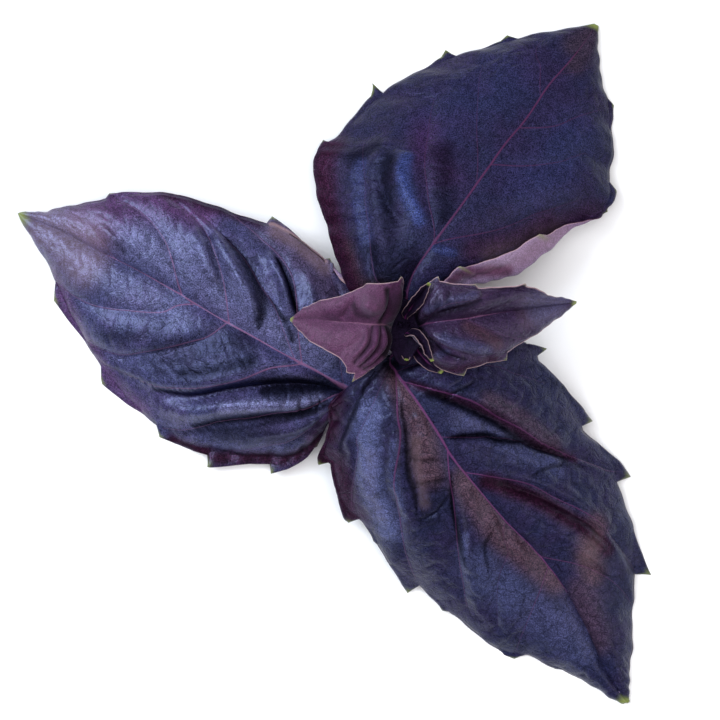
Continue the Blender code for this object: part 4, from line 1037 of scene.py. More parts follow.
def lay_out(mesh, quads, is_lower, flat, count, sides):
    """A map for the faces: the upper face on the left, the lower face on the right."""
    half = sides // 2
    ring, column = quads // sides, quads % sides
    lower = column >= half
    across = np.where(lower, sides - 1 - column, column)
    place = flat[ring, across].astype(float)
    wide = np.ptp(flat[..., 0]) + 3.0
    is_lower = is_lower[:, None]
    rim = lower & ~is_lower
    outward = np.where(across < half / 2, -1.0, 1.0)
    caps = np.arange(len(quads))[:, None] >= (count - 1) * sides
    place[..., 0] += np.where(rim & ~caps, 0.5 * outward, 0.0) + np.where(is_lower, wide, 0.0)
    place[..., 0] -= flat[..., 0].min() - 1.0
    place[..., 1] += np.where(caps & rim, np.where(ring == 0, -0.5, 0.5), 0.0) + 1.0
    place /= max(2 * wide, flat[..., 1].max() + 3.0)
    layer = mesh.uv_layers.new(name="OFBake")
    layer.uv.foreach_set("vector", place.reshape(-1).astype(np.float32))


def poled_mesh(name, rings, poles):
    """A mesh from rings of points with one point closing each end."""
    count, sides = rings.shape[:2]
    quads = ring_quads(count, sides)
    around = np.arange(sides)
    after = (around + 1) % sides
    first, final = np.full(sides, count * sides), np.full(sides, count * sides + 1)
    far = (count - 1) * sides
    start = np.stack([after, around, first], axis=-1)
    end = np.stack([around + far, after + far, final], axis=-1)
    points = np.concatenate([rings.reshape(-1, 3), poles]) * MM
    faces = quads.tolist() + start.tolist() + end.tolist()
    if inside_out(points, quads):
        faces = [face[::-1] for face in faces]
    return new_mesh(name, points, faces)


def bare_layers(mesh):
    """The leaf skin's layers with nothing drawn: no tints, and far from every vein."""
    for label in KEPT:
        far = label in ("field", "midrib", "margin")
        add_layer(mesh, label, np.full(len(mesh.vertices), FAR if far else 0.0))


def collar_mesh(name):
    """The leaf bases that clasp the stem under the heart: a fluted funnel with a closed wall.

    Along the wall p goes from 0 at the foot to 1 at the rim: radius 1.25 + 2.1 p^1.4 and height
    14.1 + 4.2 p, times a fluting 1 + 0.12 p cos(4 turn), and 1.5 times as wide along Y. The inside
    has a radius 0.3 less and is a dish of height 17.75 + 0.5 p^2 that closes over the stem's end.
    """
    turn = np.linspace(0, 2 * math.pi, 72, endpoint=False)
    p = np.linspace(0, 1, 24)[:, None]
    flute = 1 + 0.12 * p * np.cos(4 * turn)
    outer, inner = (1.25 + 2.1 * p**1.4) * flute, (0.95 + 2.1 * p**1.4) * flute
    wide = np.concatenate([outer, inner[::-1]])
    lift = np.concatenate([14.1 + 4.2 * p, 17.75 + 0.5 * p[::-1] ** 2]) + 0 * turn
    x, y = COLLAR_CENTRE
    rings = np.stack([x + wide * np.cos(turn), y + 1.5 * wide * np.sin(turn), lift], axis=-1)
    mesh = poled_mesh(name, rings, np.array([[x, y, 14.0], [x, y, 17.7]]))
    bare_layers(mesh)
    return mesh


def bud_mesh(name, node):
    """A closed bud leaf: an egg, pointed at the top, in the node's box.

    At height h from -1 to 1 its half width is sqrt(1 - h^2) * (1 - 0.3 h) / 1.05, with a shallow
    groove 1 - 0.12 exp(-(turn / 0.3)^2) down the outer side.
    """
    low, high = (np.array(corner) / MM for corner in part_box(node))
    lift = np.linspace(0.0, math.pi, 26)[1:-1]
    turn = np.linspace(0, 2 * math.pi, 40, endpoint=False)
    h = -np.cos(lift)[:, None]
    wide = np.sin(lift)[:, None] * (1 - 0.30 * h) / 1.05
    groove = 1 - 0.12 * bell(np.angle(np.exp(1j * turn)), 0.3)[None, :]
    shape = np.stack([
        wide * np.cos(turn) * groove, wide * np.sin(turn) * groove, h + 0 * turn], axis=-1)
    centre = (low + high) / 2
    poles = np.array([[*centre[:2], low[2]], [*centre[:2], high[2]]])
    mesh = poled_mesh(name, centre + (high - low) / 2 * shape, poles)
    bare_layers(mesh)
    return mesh


def stem_mesh(name):
    """The stem: a rounded square outline carried along its path.

    The outline's radius at a turn t is r * (1 + 0.10 cos 4t - 0.012 cos 20t); the ends are closed
    by rings that shrink to a point, the cut one with a sunken pith: depth 0.25 *
    exp(-(q / 0.45)^2) at the part q of the radius.
    """
    at = np.linspace(0, len(STEM_PATH) - 1, 110)
    path = rail(STEM_PATH, at)
    heading = unit(np.gradient(path, axis=0))
    side = unit(np.cross(heading, np.array([1.0, 0.0, 0.0])))
    other = np.cross(heading, side)
    radius = np.interp(at, [0, len(STEM_PATH) - 1], STEM_RADIUS)
    radius = radius * (1 + 0.03 * np.sin(at * 4.1) + 0.10 * bell(at - 0.9, 0.35))
    turn = np.linspace(0, 2 * math.pi, 56, endpoint=False)
    outline = 1 + 0.10 * np.cos(4 * turn) - 0.012 * np.cos(20 * turn)
    shape = np.cos(turn)[:, None, None] * side + np.sin(turn)[:, None, None] * other
    shape = np.moveaxis(shape, 0, 1) * outline[None, :, None]
    body = path[:, None] + radius[:, None, None] * shape
    part = np.linspace(1, 0, 9)[1:-1]
    top = path[0] + radius[0] * part[::-1, None, None] * shape[0] - heading[0] * (
        0.2 * (1 - part[::-1] ** 2))[:, None, None]
    sunk = 0.25 * bell(part, 0.45)[:, None, None]
    cut = path[-1] + radius[-1] * part[:, None, None] * shape[-1] - heading[-1] * sunk
    rings = np.concatenate([top, body, cut])
    rings[..., 2] = np.maximum(rings[..., 2], 0.0)
    poles = np.array([path[0] - heading[0] * 0.2, path[-1] - heading[-1] * 0.25])
    mesh = poled_mesh(name, rings, poles)
    rest = np.zeros(len(rings) - len(part))
    for label, value in (("cut", np.ones(len(part))), ("pith", 1 - part)):
        whole = np.repeat(np.concatenate([rest, value]), len(turn))
        add_layer(mesh, label, np.concatenate([whole, (0, 1)]))
    corner = np.tile(0.5 + 0.5 * np.cos(4 * turn), len(rings))
    add_layer(mesh, "corner", np.concatenate([corner, (0.5, 0.5)]))
    return mesh


def place_piece(mesh, node, materials):
    """Put a mesh in the scene as the piece of the same name, which stands for a node if given."""
    for material in materials:
        mesh.materials.append(material)
    piece = bpy.data.objects.new(mesh.name, mesh)
    bpy.context.scene.collection.objects.link(piece)
    if node:
        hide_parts(node)
    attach(piece, "root")


def make_leaf(name, leaf, thickness, swelling, materials):
    """One leaf as a piece: its surface, masks, map and materials."""
    mesh = closed_sheet_mesh(name, *leaf_surface(leaf, thickness / MM, swelling))
    place_piece(mesh, leaf["node"], materials)


# ------------------------------------------------------------------------------- material helpers
def fill(tree, node, inputs):
    """Set each named input of a node, or link it to the socket that is given for it."""
    for name, value in inputs.items():
        if isinstance(value, bpy.types.NodeSocket):
            tree.links.new(value, node.inputs[name])
        else:
            node.inputs[name].default_value = value


def add_node(tree, kind, inputs, **settings):
    """A new node with its settings, and its inputs set or linked."""
    made = tree.nodes.new(kind)
    for name, value in settings.items():
        setattr(made, name, value)
    fill(tree, made, inputs)
    return made


def blend_colours(tree, amount, first, second, kind="MIX"):
    """Mix of two colours by an amount."""
    return add_node(
        tree, "ShaderNodeMix", {0: amount, 6: first, 7: second}, data_type="RGBA",
        blend_type=kind).outputs[2]


def reckon(tree, operation, first, second=0.0, clamp=False):
    """A sum, product or other operation on two values."""
    return add_node(
        tree, "ShaderNodeMath", {0: first, 1: second}, operation=operation,
        use_clamp=clamp).outputs[0]


def step_between(tree, value, low, high, to_low=0.0, to_high=1.0):
    """A value carried by an S curve from to_low at low to to_high at high."""
    return add_node(
        tree, "ShaderNodeMapRange",
        {"Value": value, "From Min": low, "From Max": high, "To Min": to_low, "To Max": to_high},
        interpolation_type="SMOOTHSTEP").outputs["Result"]


def noise(tree, place, scale, detail, output="Fac", **more):
    """Cloudy noise; its scale is in waves a metre."""
    inputs = {"Vector": place, "Scale": scale, "Detail": detail}
    inputs.update({name.capitalize(): value for name, value in more.items()})
    return add_node(tree, "ShaderNodeTexNoise", inputs).outputs[output]


def cells(tree, place, scale, randomness, feature="F1"):
    """Distance to the point, or to the edge, of irregular cells; the scale is in cells a metre."""
    return add_node(
        tree, "ShaderNodeTexVoronoi",
        {"Vector": place, "Scale": scale, "Randomness": randomness},
        feature=feature).outputs["Distance"]


def vector_sum(tree, operation, first, second):
    """A sum or difference of two vectors, or a vector times a number."""
    name = "Scale" if operation == "SCALE" else 1
    return add_node(
        tree, "ShaderNodeVectorMath", {0: first, name: second}, operation=operation).outputs[0]


def layer_value(tree, label):
    """A value that the mesh keeps for each point."""
    return add_node(tree, "ShaderNodeAttribute", {}, attribute_name=label).outputs["Fac"]


def bumped(tree, height, distance=MM, strength=1.0):
    """The normal of a surface with fine relief."""
    return add_node(tree, "ShaderNodeBump", {
        "Height": height, "Distance": distance, "Strength": strength}).outputs["Normal"]


def start_group(name, inputs, outputs):
    """A new node group with its sockets, or the group that was made before and two Nones.

    The socket called Vector is a vector, those whose names end in Colour are colours, and the rest
    are values.
    """
    group = bpy.data.node_groups.get(name)
    if group is not None:
        return group, None, None
    group = bpy.data.node_groups.new(name, "ShaderNodeTree")
    for labels, way in ((inputs, "INPUT"), (outputs, "OUTPUT")):
        for label in labels:
            kind = {"Vector": "Vector", "Colour": "Color"}.get(label.split()[-1], "Float")
            group.interface.new_socket(label, in_out=way, socket_type=f"NodeSocket{kind}")
    return group, group.nodes.new("NodeGroupInput").outputs, group.nodes.new("NodeGroupOutput")


def use_group(tree, group, sources):
    """Put a shared group in a tree, fed from the sources of the same names, and add its outputs."""
    names = [socket.name for socket in group.interface.items_tree if socket.in_out == "INPUT"]
    node = add_node(tree, "ShaderNodeGroup", {}, node_tree=group)
    fill(tree, node, {name: sources[name] for name in names})
    sources.update({socket.name: socket for socket in node.outputs})


def veinlet_group():
    """Fine detail of a leaf's skin: the net of small veins, the cushions between, grain, glands."""
    group, given, result = start_group(
        "Basil veinlets", ("Vector", "Cell"),
        ("Lines", "Cushion", "Grain", "Glands", "Patches", "Mottle", "Creases"))
    if result is None:
        return group
    place = given["Vector"]
    bend = noise(group, place, 420.0, 2.0, "Color")
    centred = vector_sum(group, "SUBTRACT", bend, (0.5, 0.5, 0.5))
    moved = vector_sum(group, "SCALE", centred, VEINLET_WARP)
    warped = vector_sum(group, "ADD", place, moved)
    scale = reckon(group, "DIVIDE", 1.0, given["Cell"])
    net = cells(group, warped, scale, 0.9, "DISTANCE_TO_EDGE")
    fine = cells(group, warped, reckon(group, "MULTIPLY", scale, 2.7), 1.0, "DISTANCE_TO_EDGE")
    crumple = noise(group, place, 300.0, 3.0, roughness=0.5, distortion=0.7)
    beside = reckon(group, "ABSOLUTE", reckon(group, "SUBTRACT", crumple, 0.5))
    fill(group, result, {
        "Lines": reckon(group, "MAXIMUM", step_between(group, net, 0.0, 0.075, 1.0, 0.0),
                        step_between(group, fine, 0.0, 0.11, 0.4, 0.0)),
        "Cushion": reckon(group, "ADD", step_between(group, net, 0.0, 0.42),
                          step_between(group, fine, 0.0, 0.4, 0.0, 0.28)),
        "Grain": noise(group, place, 5200.0, 2.0, roughness=0.6),
        "Glands": step_between(group, cells(group, place, 1500.0, 1.0), 0.12, 0.26, 1.0, 0.0),
        "Patches": noise(group, place, 150.0, 4.0, roughness=0.55),
        "Mottle": noise(group, warped, 760.0, 2.5, roughness=0.6),
        "Creases": step_between(group, beside, 0.0, 0.05, 1.0, 0.0)})
    return group


def vein_group():
    """Masks of the drawn veins, from the distances kept on the mesh, in millimetres."""
    group, given, result = start_group(
        "Basil veins",
        ("Midrib", "Field", "Force", "Along", "Margin", "Midrib Width", "Vein Width", "Rim Width"),
        ("Midrib", "Veins", "Rim"))
    if result is None:
        return group

    def stripe(distance, width, core):
        """1 within the core, which is a part of the width, and 0 beyond the width."""
        inner = reckon(group, "MULTIPLY", width, core)
        return step_between(
            group, reckon(group, "ABSOLUTE", distance), inner, width, 1.0, 0.0)

    taper = step_between(group, given["Along"], 0.0, 1.0, 1.0, 0.5)
    strong = reckon(group, "ADD", reckon(group, "MULTIPLY", given["Force"], 0.7), 0.3)
    midrib = reckon(group, "MULTIPLY", given["Midrib Width"], taper)
    veins = reckon(group, "MULTIPLY", given["Vein Width"], strong)
    fill(group, result, {
        "Midrib": stripe(given["Midrib"], midrib, 0.35),
        "Veins": reckon(group, "MULTIPLY", stripe(given["Field"], veins, 0.2), given["Force"]),
        "Rim": step_between(group, given["Margin"], 0.0, given["Rim Width"], 1.0, 0.0)})
    return group


def colouring_group():
    """Colour and roughness of a leaf's skin, from its masks and its fine detail.

    Painted shade: the dark mask darkens the colour of folds, troughs and the cavity, adds some
    roughness and drives Metallic, which takes the gloss out there; Metallic also takes half of it
    out of the wine-red areas. There the shader reflects with the surface's own deep colour.
    """
    inks = ("Skin", "Plum", "Wine", "Brown", "Bloom", "Vein", "Rim", "Green")
    group, given, result = start_group(
        "Basil colouring",
        [f"{ink} Colour" for ink in inks] + [f"{mask.title()} Mask" for mask in MASKS] + [
            "Midrib", "Veins", "Rim", "Lines", "Grain", "Glands", "Patches", "Mottle", "Creases",
            "Crease Shade", "Roughness", "Line Shade", "Speckle", "Vein Strength"],
        ("Colour", "Roughness", "Metallic"))
    if result is None:
        return group

    def times(first, second):
        return reckon(group, "MULTIPLY", first, second)

    def less(first, second, clamp=False):
        return reckon(group, "SUBTRACT", first, second, clamp)

    loose = times(step_between(group, given["Patches"], 0.35, 0.65), 0.22)
    uneven = step_between(group, given["Grain"], 0.3, 0.7, 0.75, 1.0)
    colour = given["Skin Colour"]
    # Plum, brown and wine are the leaf's own colours; bloom is a painted blue sheen.
    for amount, ink in (
            (reckon(group, "ADD", given["Plum Mask"], loose, clamp=True), "Plum"),
            (given["Bloom Mask"], "Bloom"),
            (times(given["Brown Mask"], uneven), "Brown"),
            (given["Wine Mask"], "Wine")):
        colour = blend_colours(group, amount, colour, given[f"{ink} Colour"])
    # Darker lines, creases and grain; the last factor is the painted shade of the dark mask.
    for amount, shade in (
            (1.0, less(1.0, times(given["Lines"], given["Line Shade"]))),
            (1.0, less(1.0, times(given["Creases"], given["Crease Shade"]))),
            (given["Speckle"], step_between(group, given["Grain"], 0.34, 0.68, 0.35, 2.1)),
            (given["Speckle"], step_between(group, given["Mottle"], 0.3, 0.7, 0.82, 1.18)),
            (1.0, less(1.0, times(given["Dark Mask"], 0.9)))):
        colour = blend_colours(group, amount, colour, shade, "MULTIPLY")
    # Veins, rim and tooth tips in their own colours; cream is a pale colour that also paints
    # glints.
    for amount, ink in (
            (times(given["Veins"], given["Vein Strength"]), given["Vein Colour"]),
            (times(given["Midrib"], given["Vein Strength"]), given["Vein Colour"]),
            (times(given["Rim"], 0.8), given["Rim Colour"]),
            (given["Cream Mask"], CREAM_AND_GLINT),
            (times(given["Green Mask"], 0.95), given["Green Colour"])):
        colour = blend_colours(group, amount, colour, ink)
    rough = reckon(group, "ADD", given["Roughness"], times(less(given["Grain"], 0.5), 0.22))
    rough = reckon(group, "ADD", rough, times(given["Dark Mask"], 0.1))
    fill(group, result, {
        "Colour": colour,
        "Roughness": less(rough, times(given["Glands"], 0.1), clamp=True),
        "Metallic": reckon(group, "MAXIMUM", times(given["Dark Mask"], 0.9),
                           times(given["Wine Mask"], 0.5))})
    return group


def relief_group():
    """Height of the skin's fine relief in millimetres."""
    group, given, result = start_group(
        "Basil fine relief",
        ("Lines", "Cushion", "Grain", "Glands", "Mottle", "Veins", "Midrib", "Creases",
         "Mottle Height", "Cushion Height", "Grain Height", "Vein Height", "Crease Depth"),
        ("Height",))
    if result is None:
        return group
    height = reckon(group, "MULTIPLY", given["Cushion"], given["Cushion Height"])
    veins = reckon(group, "MAXIMUM", given["Veins"], given["Midrib"])
    for operation, mask, tall in (
            ("SUBTRACT", given["Lines"], LINE_DEPTH),
            ("ADD", given["Grain"], given["Grain Height"]),
            ("SUBTRACT", given["Glands"], GLAND_DEPTH),
            ("ADD", given["Mottle"], given["Mottle Height"]),
            ("SUBTRACT", given["Creases"], given["Crease Depth"]),
            ("ADD", veins, given["Vein Height"])):
        height = reckon(group, operation, height, reckon(group, "MULTIPLY", mask, tall))
    fill(group, result, {"Height": height})
    return group


def new_material(name):
    """An empty material: itself, its tree, its shader and the place on the object."""
    material = bpy.data.materials.new(name)
    material.use_nodes = True
    tree = material.node_tree
    place = add_node(tree, "ShaderNodeTexCoord", {}).outputs["Object"]
    return material, tree, tree.nodes["Principled BSDF"], place


# ------------------------------------------------------------------------------- the leaf skins
# Widths, heights and depths in millimetres; the rest are the strengths of the groups' inputs.
LEFT_LOOKS = dict(
    roughness=0.35, specular=0.75, specular_tint=(0.56, 0.62, 1.0), sheen=0.0, midrib_width=0.36,
    vein_width=0.23, rim_width=0.16, vein_strength=0.9, line_shade=0.35, crease_shade=0.25,
    speckle=1.0, cushion_height=0.022, grain_height=0.024, vein_height=0.06, mottle_height=0.04,
    crease_depth=0.022)
UPPER_LOOKS = dict(
    LEFT_LOOKS, roughness=0.36, specular=0.22, vein_strength=0.8, line_shade=0.12,
    cushion_height=0.010, crease_depth=0.02, crease_shade=0.15)
LOWER_LOOKS = dict(
    LEFT_LOOKS, roughness=0.33, specular=0.42, line_shade=0.45, cushion_height=0.024,
    mottle_height=0.035, crease_depth=0.02, speckle=0.75)
UNDER_LOOKS = dict(
    roughness=0.62, specular=0.35, specular_tint=(0.95, 0.9, 1.0), sheen=0.1, midrib_width=0.9,
    vein_width=0.4, rim_width=0.2, vein_strength=0.6, line_shade=0.2, crease_shade=0.1,
    speckle=0.4, cushion_height=0.04, grain_height=0.02, vein_height=0.12, mottle_height=0.08,
    crease_depth=0.03)
PINK_LOOKS = dict(
    roughness=0.5, specular=0.28, specular_tint=(1.0, 0.9, 1.0), sheen=0.1, midrib_width=0.3,
    vein_width=0.2, rim_width=0.24, vein_strength=0.35, line_shade=0.1, crease_shade=0.1,
    speckle=0.45, cushion_height=0.015, grain_height=0.015, vein_height=0.03, mottle_height=0.06,
    crease_depth=0.015)
YOUNG_LOOKS = dict(
    roughness=0.36, specular=0.75, specular_tint=(0.68, 0.66, 1.0), sheen=0.0, midrib_width=0.3,
    vein_width=0.18, rim_width=0.24, vein_strength=0.8, line_shade=0.3, crease_shade=0.2,
    speckle=0.7, cushion_height=0.04, grain_height=0.02, vein_height=0.05, mottle_height=0.08,
    crease_depth=0.04)
HEART_LOOKS = dict(YOUNG_LOOKS, specular=0.15, roughness=0.6, rim_width=0.15)
# The heart's rim, about half as bright as the pale rim, and its near-black lower skin are painted
# shade for the deep cavity among the bud leaves.
DARK_RIM, PALE_RIM, HEART_SHADE_RIM = (0.07, 0.022, 0.052), (0.50, 0.34, 0.36), (0.26, 0.17, 0.19)
HEART_SHADE_UNDER = (0.012, 0.006, 0.014)
LARGE_CELL, SMALL_CELL = 1.0, 0.6      # size of the net of small veins


def skin_material(name, colours, looks, cell):
    """A leaf skin: the shared groups with this skin's own colours and strengths.

    The colours and the looks go by name to the groups' inputs, such as rim_width to Rim Width.
    """
    material, tree, shader, place = new_material(name)
    sources = {"Vector": place, "Cell": cell}
    sources.update({label.replace("_", " ").title(): value for label, value in looks.items()})
    sources.update({f"{ink.title()} Colour": (*value, 1.0) for ink, value in colours.items()})
    for label in KEPT:
        name = f"{label.title()} Mask" if label in MASKS else label.title()
        sources[name] = layer_value(tree, label)
    for group in (veinlet_group(), vein_group(), colouring_group(), relief_group()):
        use_group(tree, group, sources)
    fill(tree, shader, {
        "Base Color": sources["Colour"], "Roughness": sources["Roughness"],
        "Metallic": sources["Metallic"], "Normal": bumped(tree, sources["Height"]),
        "Specular IOR Level": looks["specular"],
        "Specular Tint": (*looks["specular_tint"], 1.0), "Sheen Weight": looks["sheen"],
        "Sheen Roughness": SHEEN_ROUGHNESS, "Sheen Tint": SHEEN_TINT})
    return material


def leaf_materials(settings, sizes, kind):
    """Upper and lower skins of one kind of leaf, made once and shared by its pieces."""
    names = f"{kind} upper skin", f"{kind} lower skin"
    if names[0] in bpy.data.materials:
        return [bpy.data.materials[name] for name in names]
    shared = {
        name: tuple(getattr(settings, name))
        for name in ("skin", "plum", "wine", "brown", "bloom", "vein", "green")
    }
    pink = tuple(settings.pink)
    under = HEART_SHADE_UNDER if kind == "Painted-shade heart" else tuple(settings.under)
    looks, size, own = {
        # Left leaf: a lighter skin, its own colour plus painted sheen for the light it catches.
        "Left leaf": (LEFT_LOOKS, LARGE_CELL, dict(
            skin=tuple(settings.lit_lavender), plum=(0.060, 0.026, 0.084),
            bloom=(0.112, 0.112, 0.225), vein=(0.160, 0.066, 0.150))),
        "Upper leaf": (UPPER_LOOKS, LARGE_CELL, dict(
            brown=(0.040, 0.024, 0.026), vein=(0.078, 0.020, 0.066))),
        "Lower leaf": (LOWER_LOOKS, LARGE_CELL, dict(
            skin=(0.014, 0.015, 0.044), bloom=(0.066, 0.076, 0.175),
            brown=(0.066, 0.035, 0.048), vein=(0.105, 0.028, 0.100))),
        "Pink leaf": (PINK_LOOKS, SMALL_CELL, dict(
            skin=pink, plum=tuple(0.8 * part for part in pink), wine=(0.058, 0.014, 0.052),
            brown=pink, bloom=(0.22, 0.12, 0.20), vein=(0.22, 0.10, 0.16), rim=PALE_RIM)),
        "Young leaf": (YOUNG_LOOKS, SMALL_CELL, dict(
            skin=(0.025, 0.014, 0.040), plum=(0.038, 0.014, 0.042), brown=(0.042, 0.018, 0.026),
            bloom=(0.040, 0.044, 0.105), vein=(0.12, 0.035, 0.10), rim=PALE_RIM)),
        # The heart's near-black skin is painted shade for the cavity among the bud leaves.
        "Painted-shade heart": (HEART_LOOKS, SMALL_CELL, dict(
            skin=(0.006, 0.003, 0.011), plum=(0.010, 0.003, 0.012), rim=HEART_SHADE_RIM)),
    }[kind]
    below = dict(
        shared, skin=under, plum=tuple(0.75 * part for part in under), wine=(0.12, 0.03, 0.09),
        brown=under, bloom=under, vein=(0.20, 0.075, 0.17), rim=PALE_RIM)
    cell = sizes.veinlet_cell * size
    return [
        skin_material(names[0], {**shared, "rim": DARK_RIM, **own}, looks, cell),
        skin_material(names[1], below, UNDER_LOOKS, cell),
    ]


def stem_material(colour):
    """Stem skin: purple on the corners, greener on the flats, with a fine grain; a pale pith."""
    material, tree, shader, place = new_material("Stem skin")
    corner, cut, pith = (layer_value(tree, label) for label in ("corner", "cut", "pith"))
    net = {"Vector": place, "Cell": 0.0012}
    use_group(tree, veinlet_group(), net)
    amount = step_between(tree, reckon(tree, "ADD", corner, net["Patches"]), 0.5, 1.3)
    skin = blend_colours(tree, amount, (0.10, 0.085, 0.04, 1.0), (*colour, 1.0))
    speck = step_between(tree, net["Grain"], 0.3, 0.7, 0.75, 1.2)
    skin = blend_colours(tree, 1.0, skin, speck, "MULTIPLY")
    core = blend_colours(tree, step_between(tree, pith, 0.15, 0.5), (0.16, 0.15, 0.05, 1.0),
                         (0.52, 0.55, 0.33, 1.0))
    height = reckon(tree, "ADD", reckon(tree, "MULTIPLY", net["Grain"], 0.03),
                    reckon(tree, "MULTIPLY", net["Cushion"], 0.02))
    fill(tree, shader, {
        "Base Color": blend_colours(tree, cut, skin, core),
        "Roughness": step_between(tree, net["Grain"], 0.2, 0.8, 0.4, 0.62),
        "Normal": bumped(tree, height), "Specular IOR Level": 0.45})
    return material


def floor_material(colour):
    """Smooth pale board: barely uneven in tone, with a soft fine tooth."""
    material, tree, shader, place = new_material("Pale floor")
    light = tuple(min(1.0, 1.015 * part) for part in colour)
    patches = step_between(tree, noise(tree, place, 9.0, 3.0), 0.3, 0.7)
    tooth = noise(tree, place, 2600.0, 2.0)
    fill(tree, shader, {
        "Base Color": blend_colours(tree, patches, (*colour, 1.0), (*light, 1.0)),
        "Roughness": step_between(tree, tooth, 0.2, 0.8, 0.7, 0.8),
        "Normal": bumped(tree, tooth, 0.00002, 0.5), "Specular IOR Level": 0.2})
    return material


# ------------------------------------------------------------------------------- the pieces
class BASIL_OT_large_leaves(bpy.types.Operator):
    """Make the three large leaves"""

    bl_idname = "basil.large_leaves"
    bl_label = "Large leaves"

    def execute(self, context):
        sizes, colours = context.scene.basil_sizes, context.scene.basil_colours
        for name, leaf, kind in (
                ("left_leaf", LEFT_LEAF, "Left leaf"),
                ("upper_right_leaf", UPPER_RIGHT_LEAF, "Upper leaf"),
                ("lower_right_leaf", LOWER_RIGHT_LEAF, "Lower leaf")):
            make_leaf(name, leaf, sizes.thickness, sizes.swelling,
                      leaf_materials(colours, sizes, kind))
        return {"FINISHED"}


class BASIL_OT_young_leaves(bpy.types.Operator):
    """Make the two young leaves above the large ones"""

    bl_idname = "basil.young_leaves"
    bl_label = "Young leaves"

    def execute(self, context):
        sizes, colours = context.scene.basil_sizes, context.scene.basil_colours
        for name, leaf, kind in (
                ("young_left_leaf", YOUNG_LEFT_LEAF, "Pink leaf"),
                ("young_right_leaf", YOUNG_RIGHT_LEAF, "Young leaf")):
            make_leaf(name, leaf, sizes.young_thickness, sizes.swelling,
                      leaf_materials(colours, sizes, kind))
        return {"FINISHED"}


class BASIL_OT_heart(bpy.types.Operator):
    """Make the small leaves and the bud in the heart of the bunch"""

    bl_idname = "basil.heart"
    bl_label = "Painted-shade heart"

    def execute(self, context):
        sizes, colours = context.scene.basil_sizes, context.scene.basil_colours
        # Near-black skins: painted shade for the cavity that the collar, inner leaves and bud
        # scales fill.
        skins = leaf_materials(colours, sizes, "Painted-shade heart")
        slot = "leaf_purple_young"
        for leaf in INNER_LEAVES:
            whole = dict(leaf, slot=slot, stations=90, rows=18, half_width=0.35, keel=0.1,
                         left=PLAIN_HALF, right=PLAIN_HALF)
            make_leaf(leaf["node"].replace("_leaf", "") + "_blade", whole,
                      sizes.young_thickness * 0.9, sizes.swelling, skins)
        place_piece(collar_mesh("leaf_base_collar"), None, skins)
        for number in (1, 2):
            node = f"bud_leaf_{number}"
            place_piece(bud_mesh(f"bud_scale_{number}", node), node, skins)
        return {"FINISHED"}


class BASIL_OT_stem(bpy.types.Operator):
    """Make the square stem with its cut end"""

    bl_idname = "basil.stem"
    bl_label = "Stem"

    def execute(self, context):
        skin = stem_material(tuple(context.scene.basil_colours.stem))
        place_piece(stem_mesh("square_stem"), "stem", [skin])
        return {"FINISHED"}


# ------------------------------------------------------------------------------------- the stage
FLOOR_HALF, FLOOR_STEPS = 1.5, 12      # metres, and squares along one side
# Lamps: name, offset from the bunch's centre, size, power, colour, whether reflections show them.
LAMPS = (
    ("key softbox", (-0.84, 0.46, 0.95), 0.65, 13.0, (0.82, 0.91, 1.0), True),
    ("warm softbox", (0.95, -0.35, 0.75), 0.8, 3.0, (1.0, 0.88, 0.80), True),
    ("ceiling softbox", (0.0, 0.0, 1.6), 1.8, 32.0, (0.98, 0.98, 1.0), False),
)
ROOM_COLOUR, ROOM_STRENGTH = (0.93, 0.96, 1.0, 1.0), 0.08
LENS, SENSOR, CAMERA_HEIGHT = 200.0, 36.0, 0.68     # millimetres, millimetres, metres
CAMERA_SHIFT = (0.0411, 0.0052)        # parts of the bunch's length and width


def add_softbox(name, centre, offset, size, power, colour, glossy):
    """A square lamp that looks at the bunch from an offset."""
    lamp = bpy.data.lights.new(name, "AREA")
    lamp.shape, lamp.size, lamp.energy, lamp.color = "SQUARE", size, power, colour
    item = bpy.data.objects.new(name, lamp)
    item.location = [c + o for c, o in zip(centre, offset)]
    towards = -unit(np.array(offset, float))
    item.rotation_euler = (
        0.0, math.acos(-towards[2]), math.atan2(-towards[1], -towards[0]))
    item.visible_glossy = glossy
    bpy.context.scene.collection.objects.link(item)


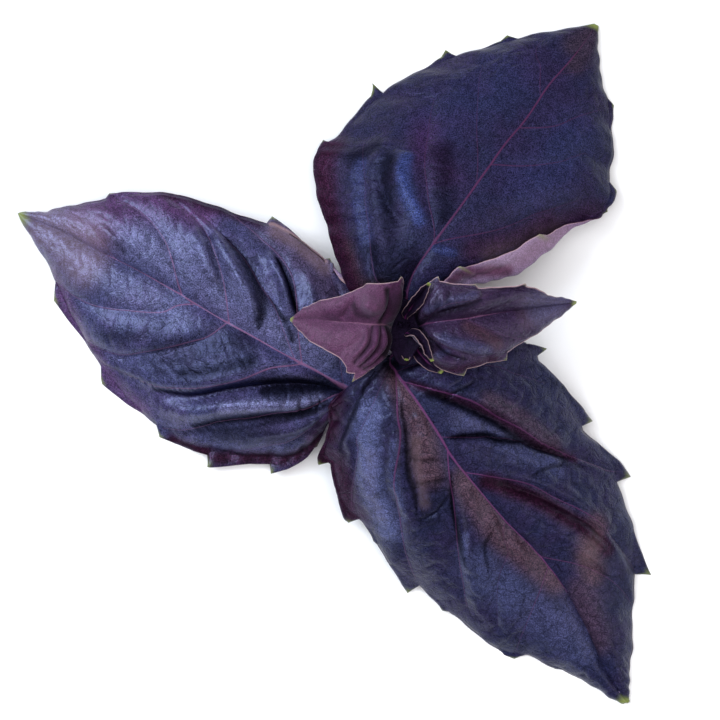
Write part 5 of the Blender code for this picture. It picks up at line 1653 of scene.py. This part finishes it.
class BASIL_OT_stage(bpy.types.Operator):
    """Make the pale floor, the soft light and the camera"""

    bl_idname = "basil.stage"
    bl_label = "Stage"

    def execute(self, context):
        low, high = (np.array(corner) for corner in CAD_BOX)
        centre, span = (low + high) / 2, high - low
        steps = np.linspace(-FLOOR_HALF, FLOOR_HALF, FLOOR_STEPS + 1)
        x, y = np.meshgrid(steps + centre[0], steps + centre[1], indexing="ij")
        points = np.stack([x, y, np.full_like(x, low[2])], axis=-1).reshape(-1, 3)
        quads = ring_quads(FLOOR_STEPS + 1, FLOOR_STEPS + 1, closed=False)[:, ::-1]
        mesh = new_mesh("pale_floor", points, quads.tolist())
        mesh.materials.append(floor_material(tuple(context.scene.basil_colours.floor)))
        floor = bpy.data.objects.new("pale_floor", mesh)
        context.scene.collection.objects.link(floor)

        for name, *lamp in LAMPS:
            add_softbox(name, centre, *lamp)
        world = bpy.data.worlds.new("soft room")
        world.use_nodes = True
        fill(world.node_tree, world.node_tree.nodes["Background"],
             {"Color": ROOM_COLOUR, "Strength": ROOM_STRENGTH})
        context.scene.world = world

        lens = bpy.data.cameras.new("camera")
        lens.lens, lens.sensor_width = LENS, SENSOR
        lens.clip_start, lens.clip_end = 0.01, 20.0
        camera = bpy.data.objects.new("camera", lens)
        camera.location = (
            centre[0] + CAMERA_SHIFT[0] * span[0], centre[1] + CAMERA_SHIFT[1] * span[1],
            low[2] + CAMERA_HEIGHT)
        context.scene.collection.objects.link(camera)
        context.scene.camera = camera
        context.scene.view_settings.view_transform = "Standard"
        return {"FINISHED"}


class BASIL_PT_panel(bpy.types.Panel):
    """Sizes, colours and the makers of the bunch's pieces"""

    bl_idname = "BASIL_PT_panel"
    bl_label = "Purple Basil Bunch"
    bl_space_type = "VIEW_3D"
    bl_region_type = "UI"
    bl_category = "Basil"

    def draw(self, context):
        layout = self.layout
        for group in (context.scene.basil_sizes, context.scene.basil_colours):
            for name in group.__annotations__:
                layout.prop(group, name)
        for maker in MAKERS:
            layout.operator(maker.bl_idname)


MAKERS = (BASIL_OT_large_leaves, BASIL_OT_young_leaves, BASIL_OT_heart, BASIL_OT_stem,
          BASIL_OT_stage)
CLASSES = (BasilSizes, BasilColours, *MAKERS, BASIL_PT_panel)


def register():
    for item in CLASSES:
        bpy.utils.register_class(item)
    bpy.types.Scene.basil_sizes = bpy.props.PointerProperty(type=BasilSizes)
    bpy.types.Scene.basil_colours = bpy.props.PointerProperty(type=BasilColours)


def unregister():
    del bpy.types.Scene.basil_colours
    del bpy.types.Scene.basil_sizes
    for item in reversed(CLASSES):
        bpy.utils.unregister_class(item)


def main():
    """Make every piece in order."""
    register()
    bpy.ops.basil.large_leaves()
    bpy.ops.basil.young_leaves()
    bpy.ops.basil.heart()
    bpy.ops.basil.stem()
    bpy.ops.basil.stage()
    bpy.context.view_layer.update()


if __name__ == "__main__":
    main()
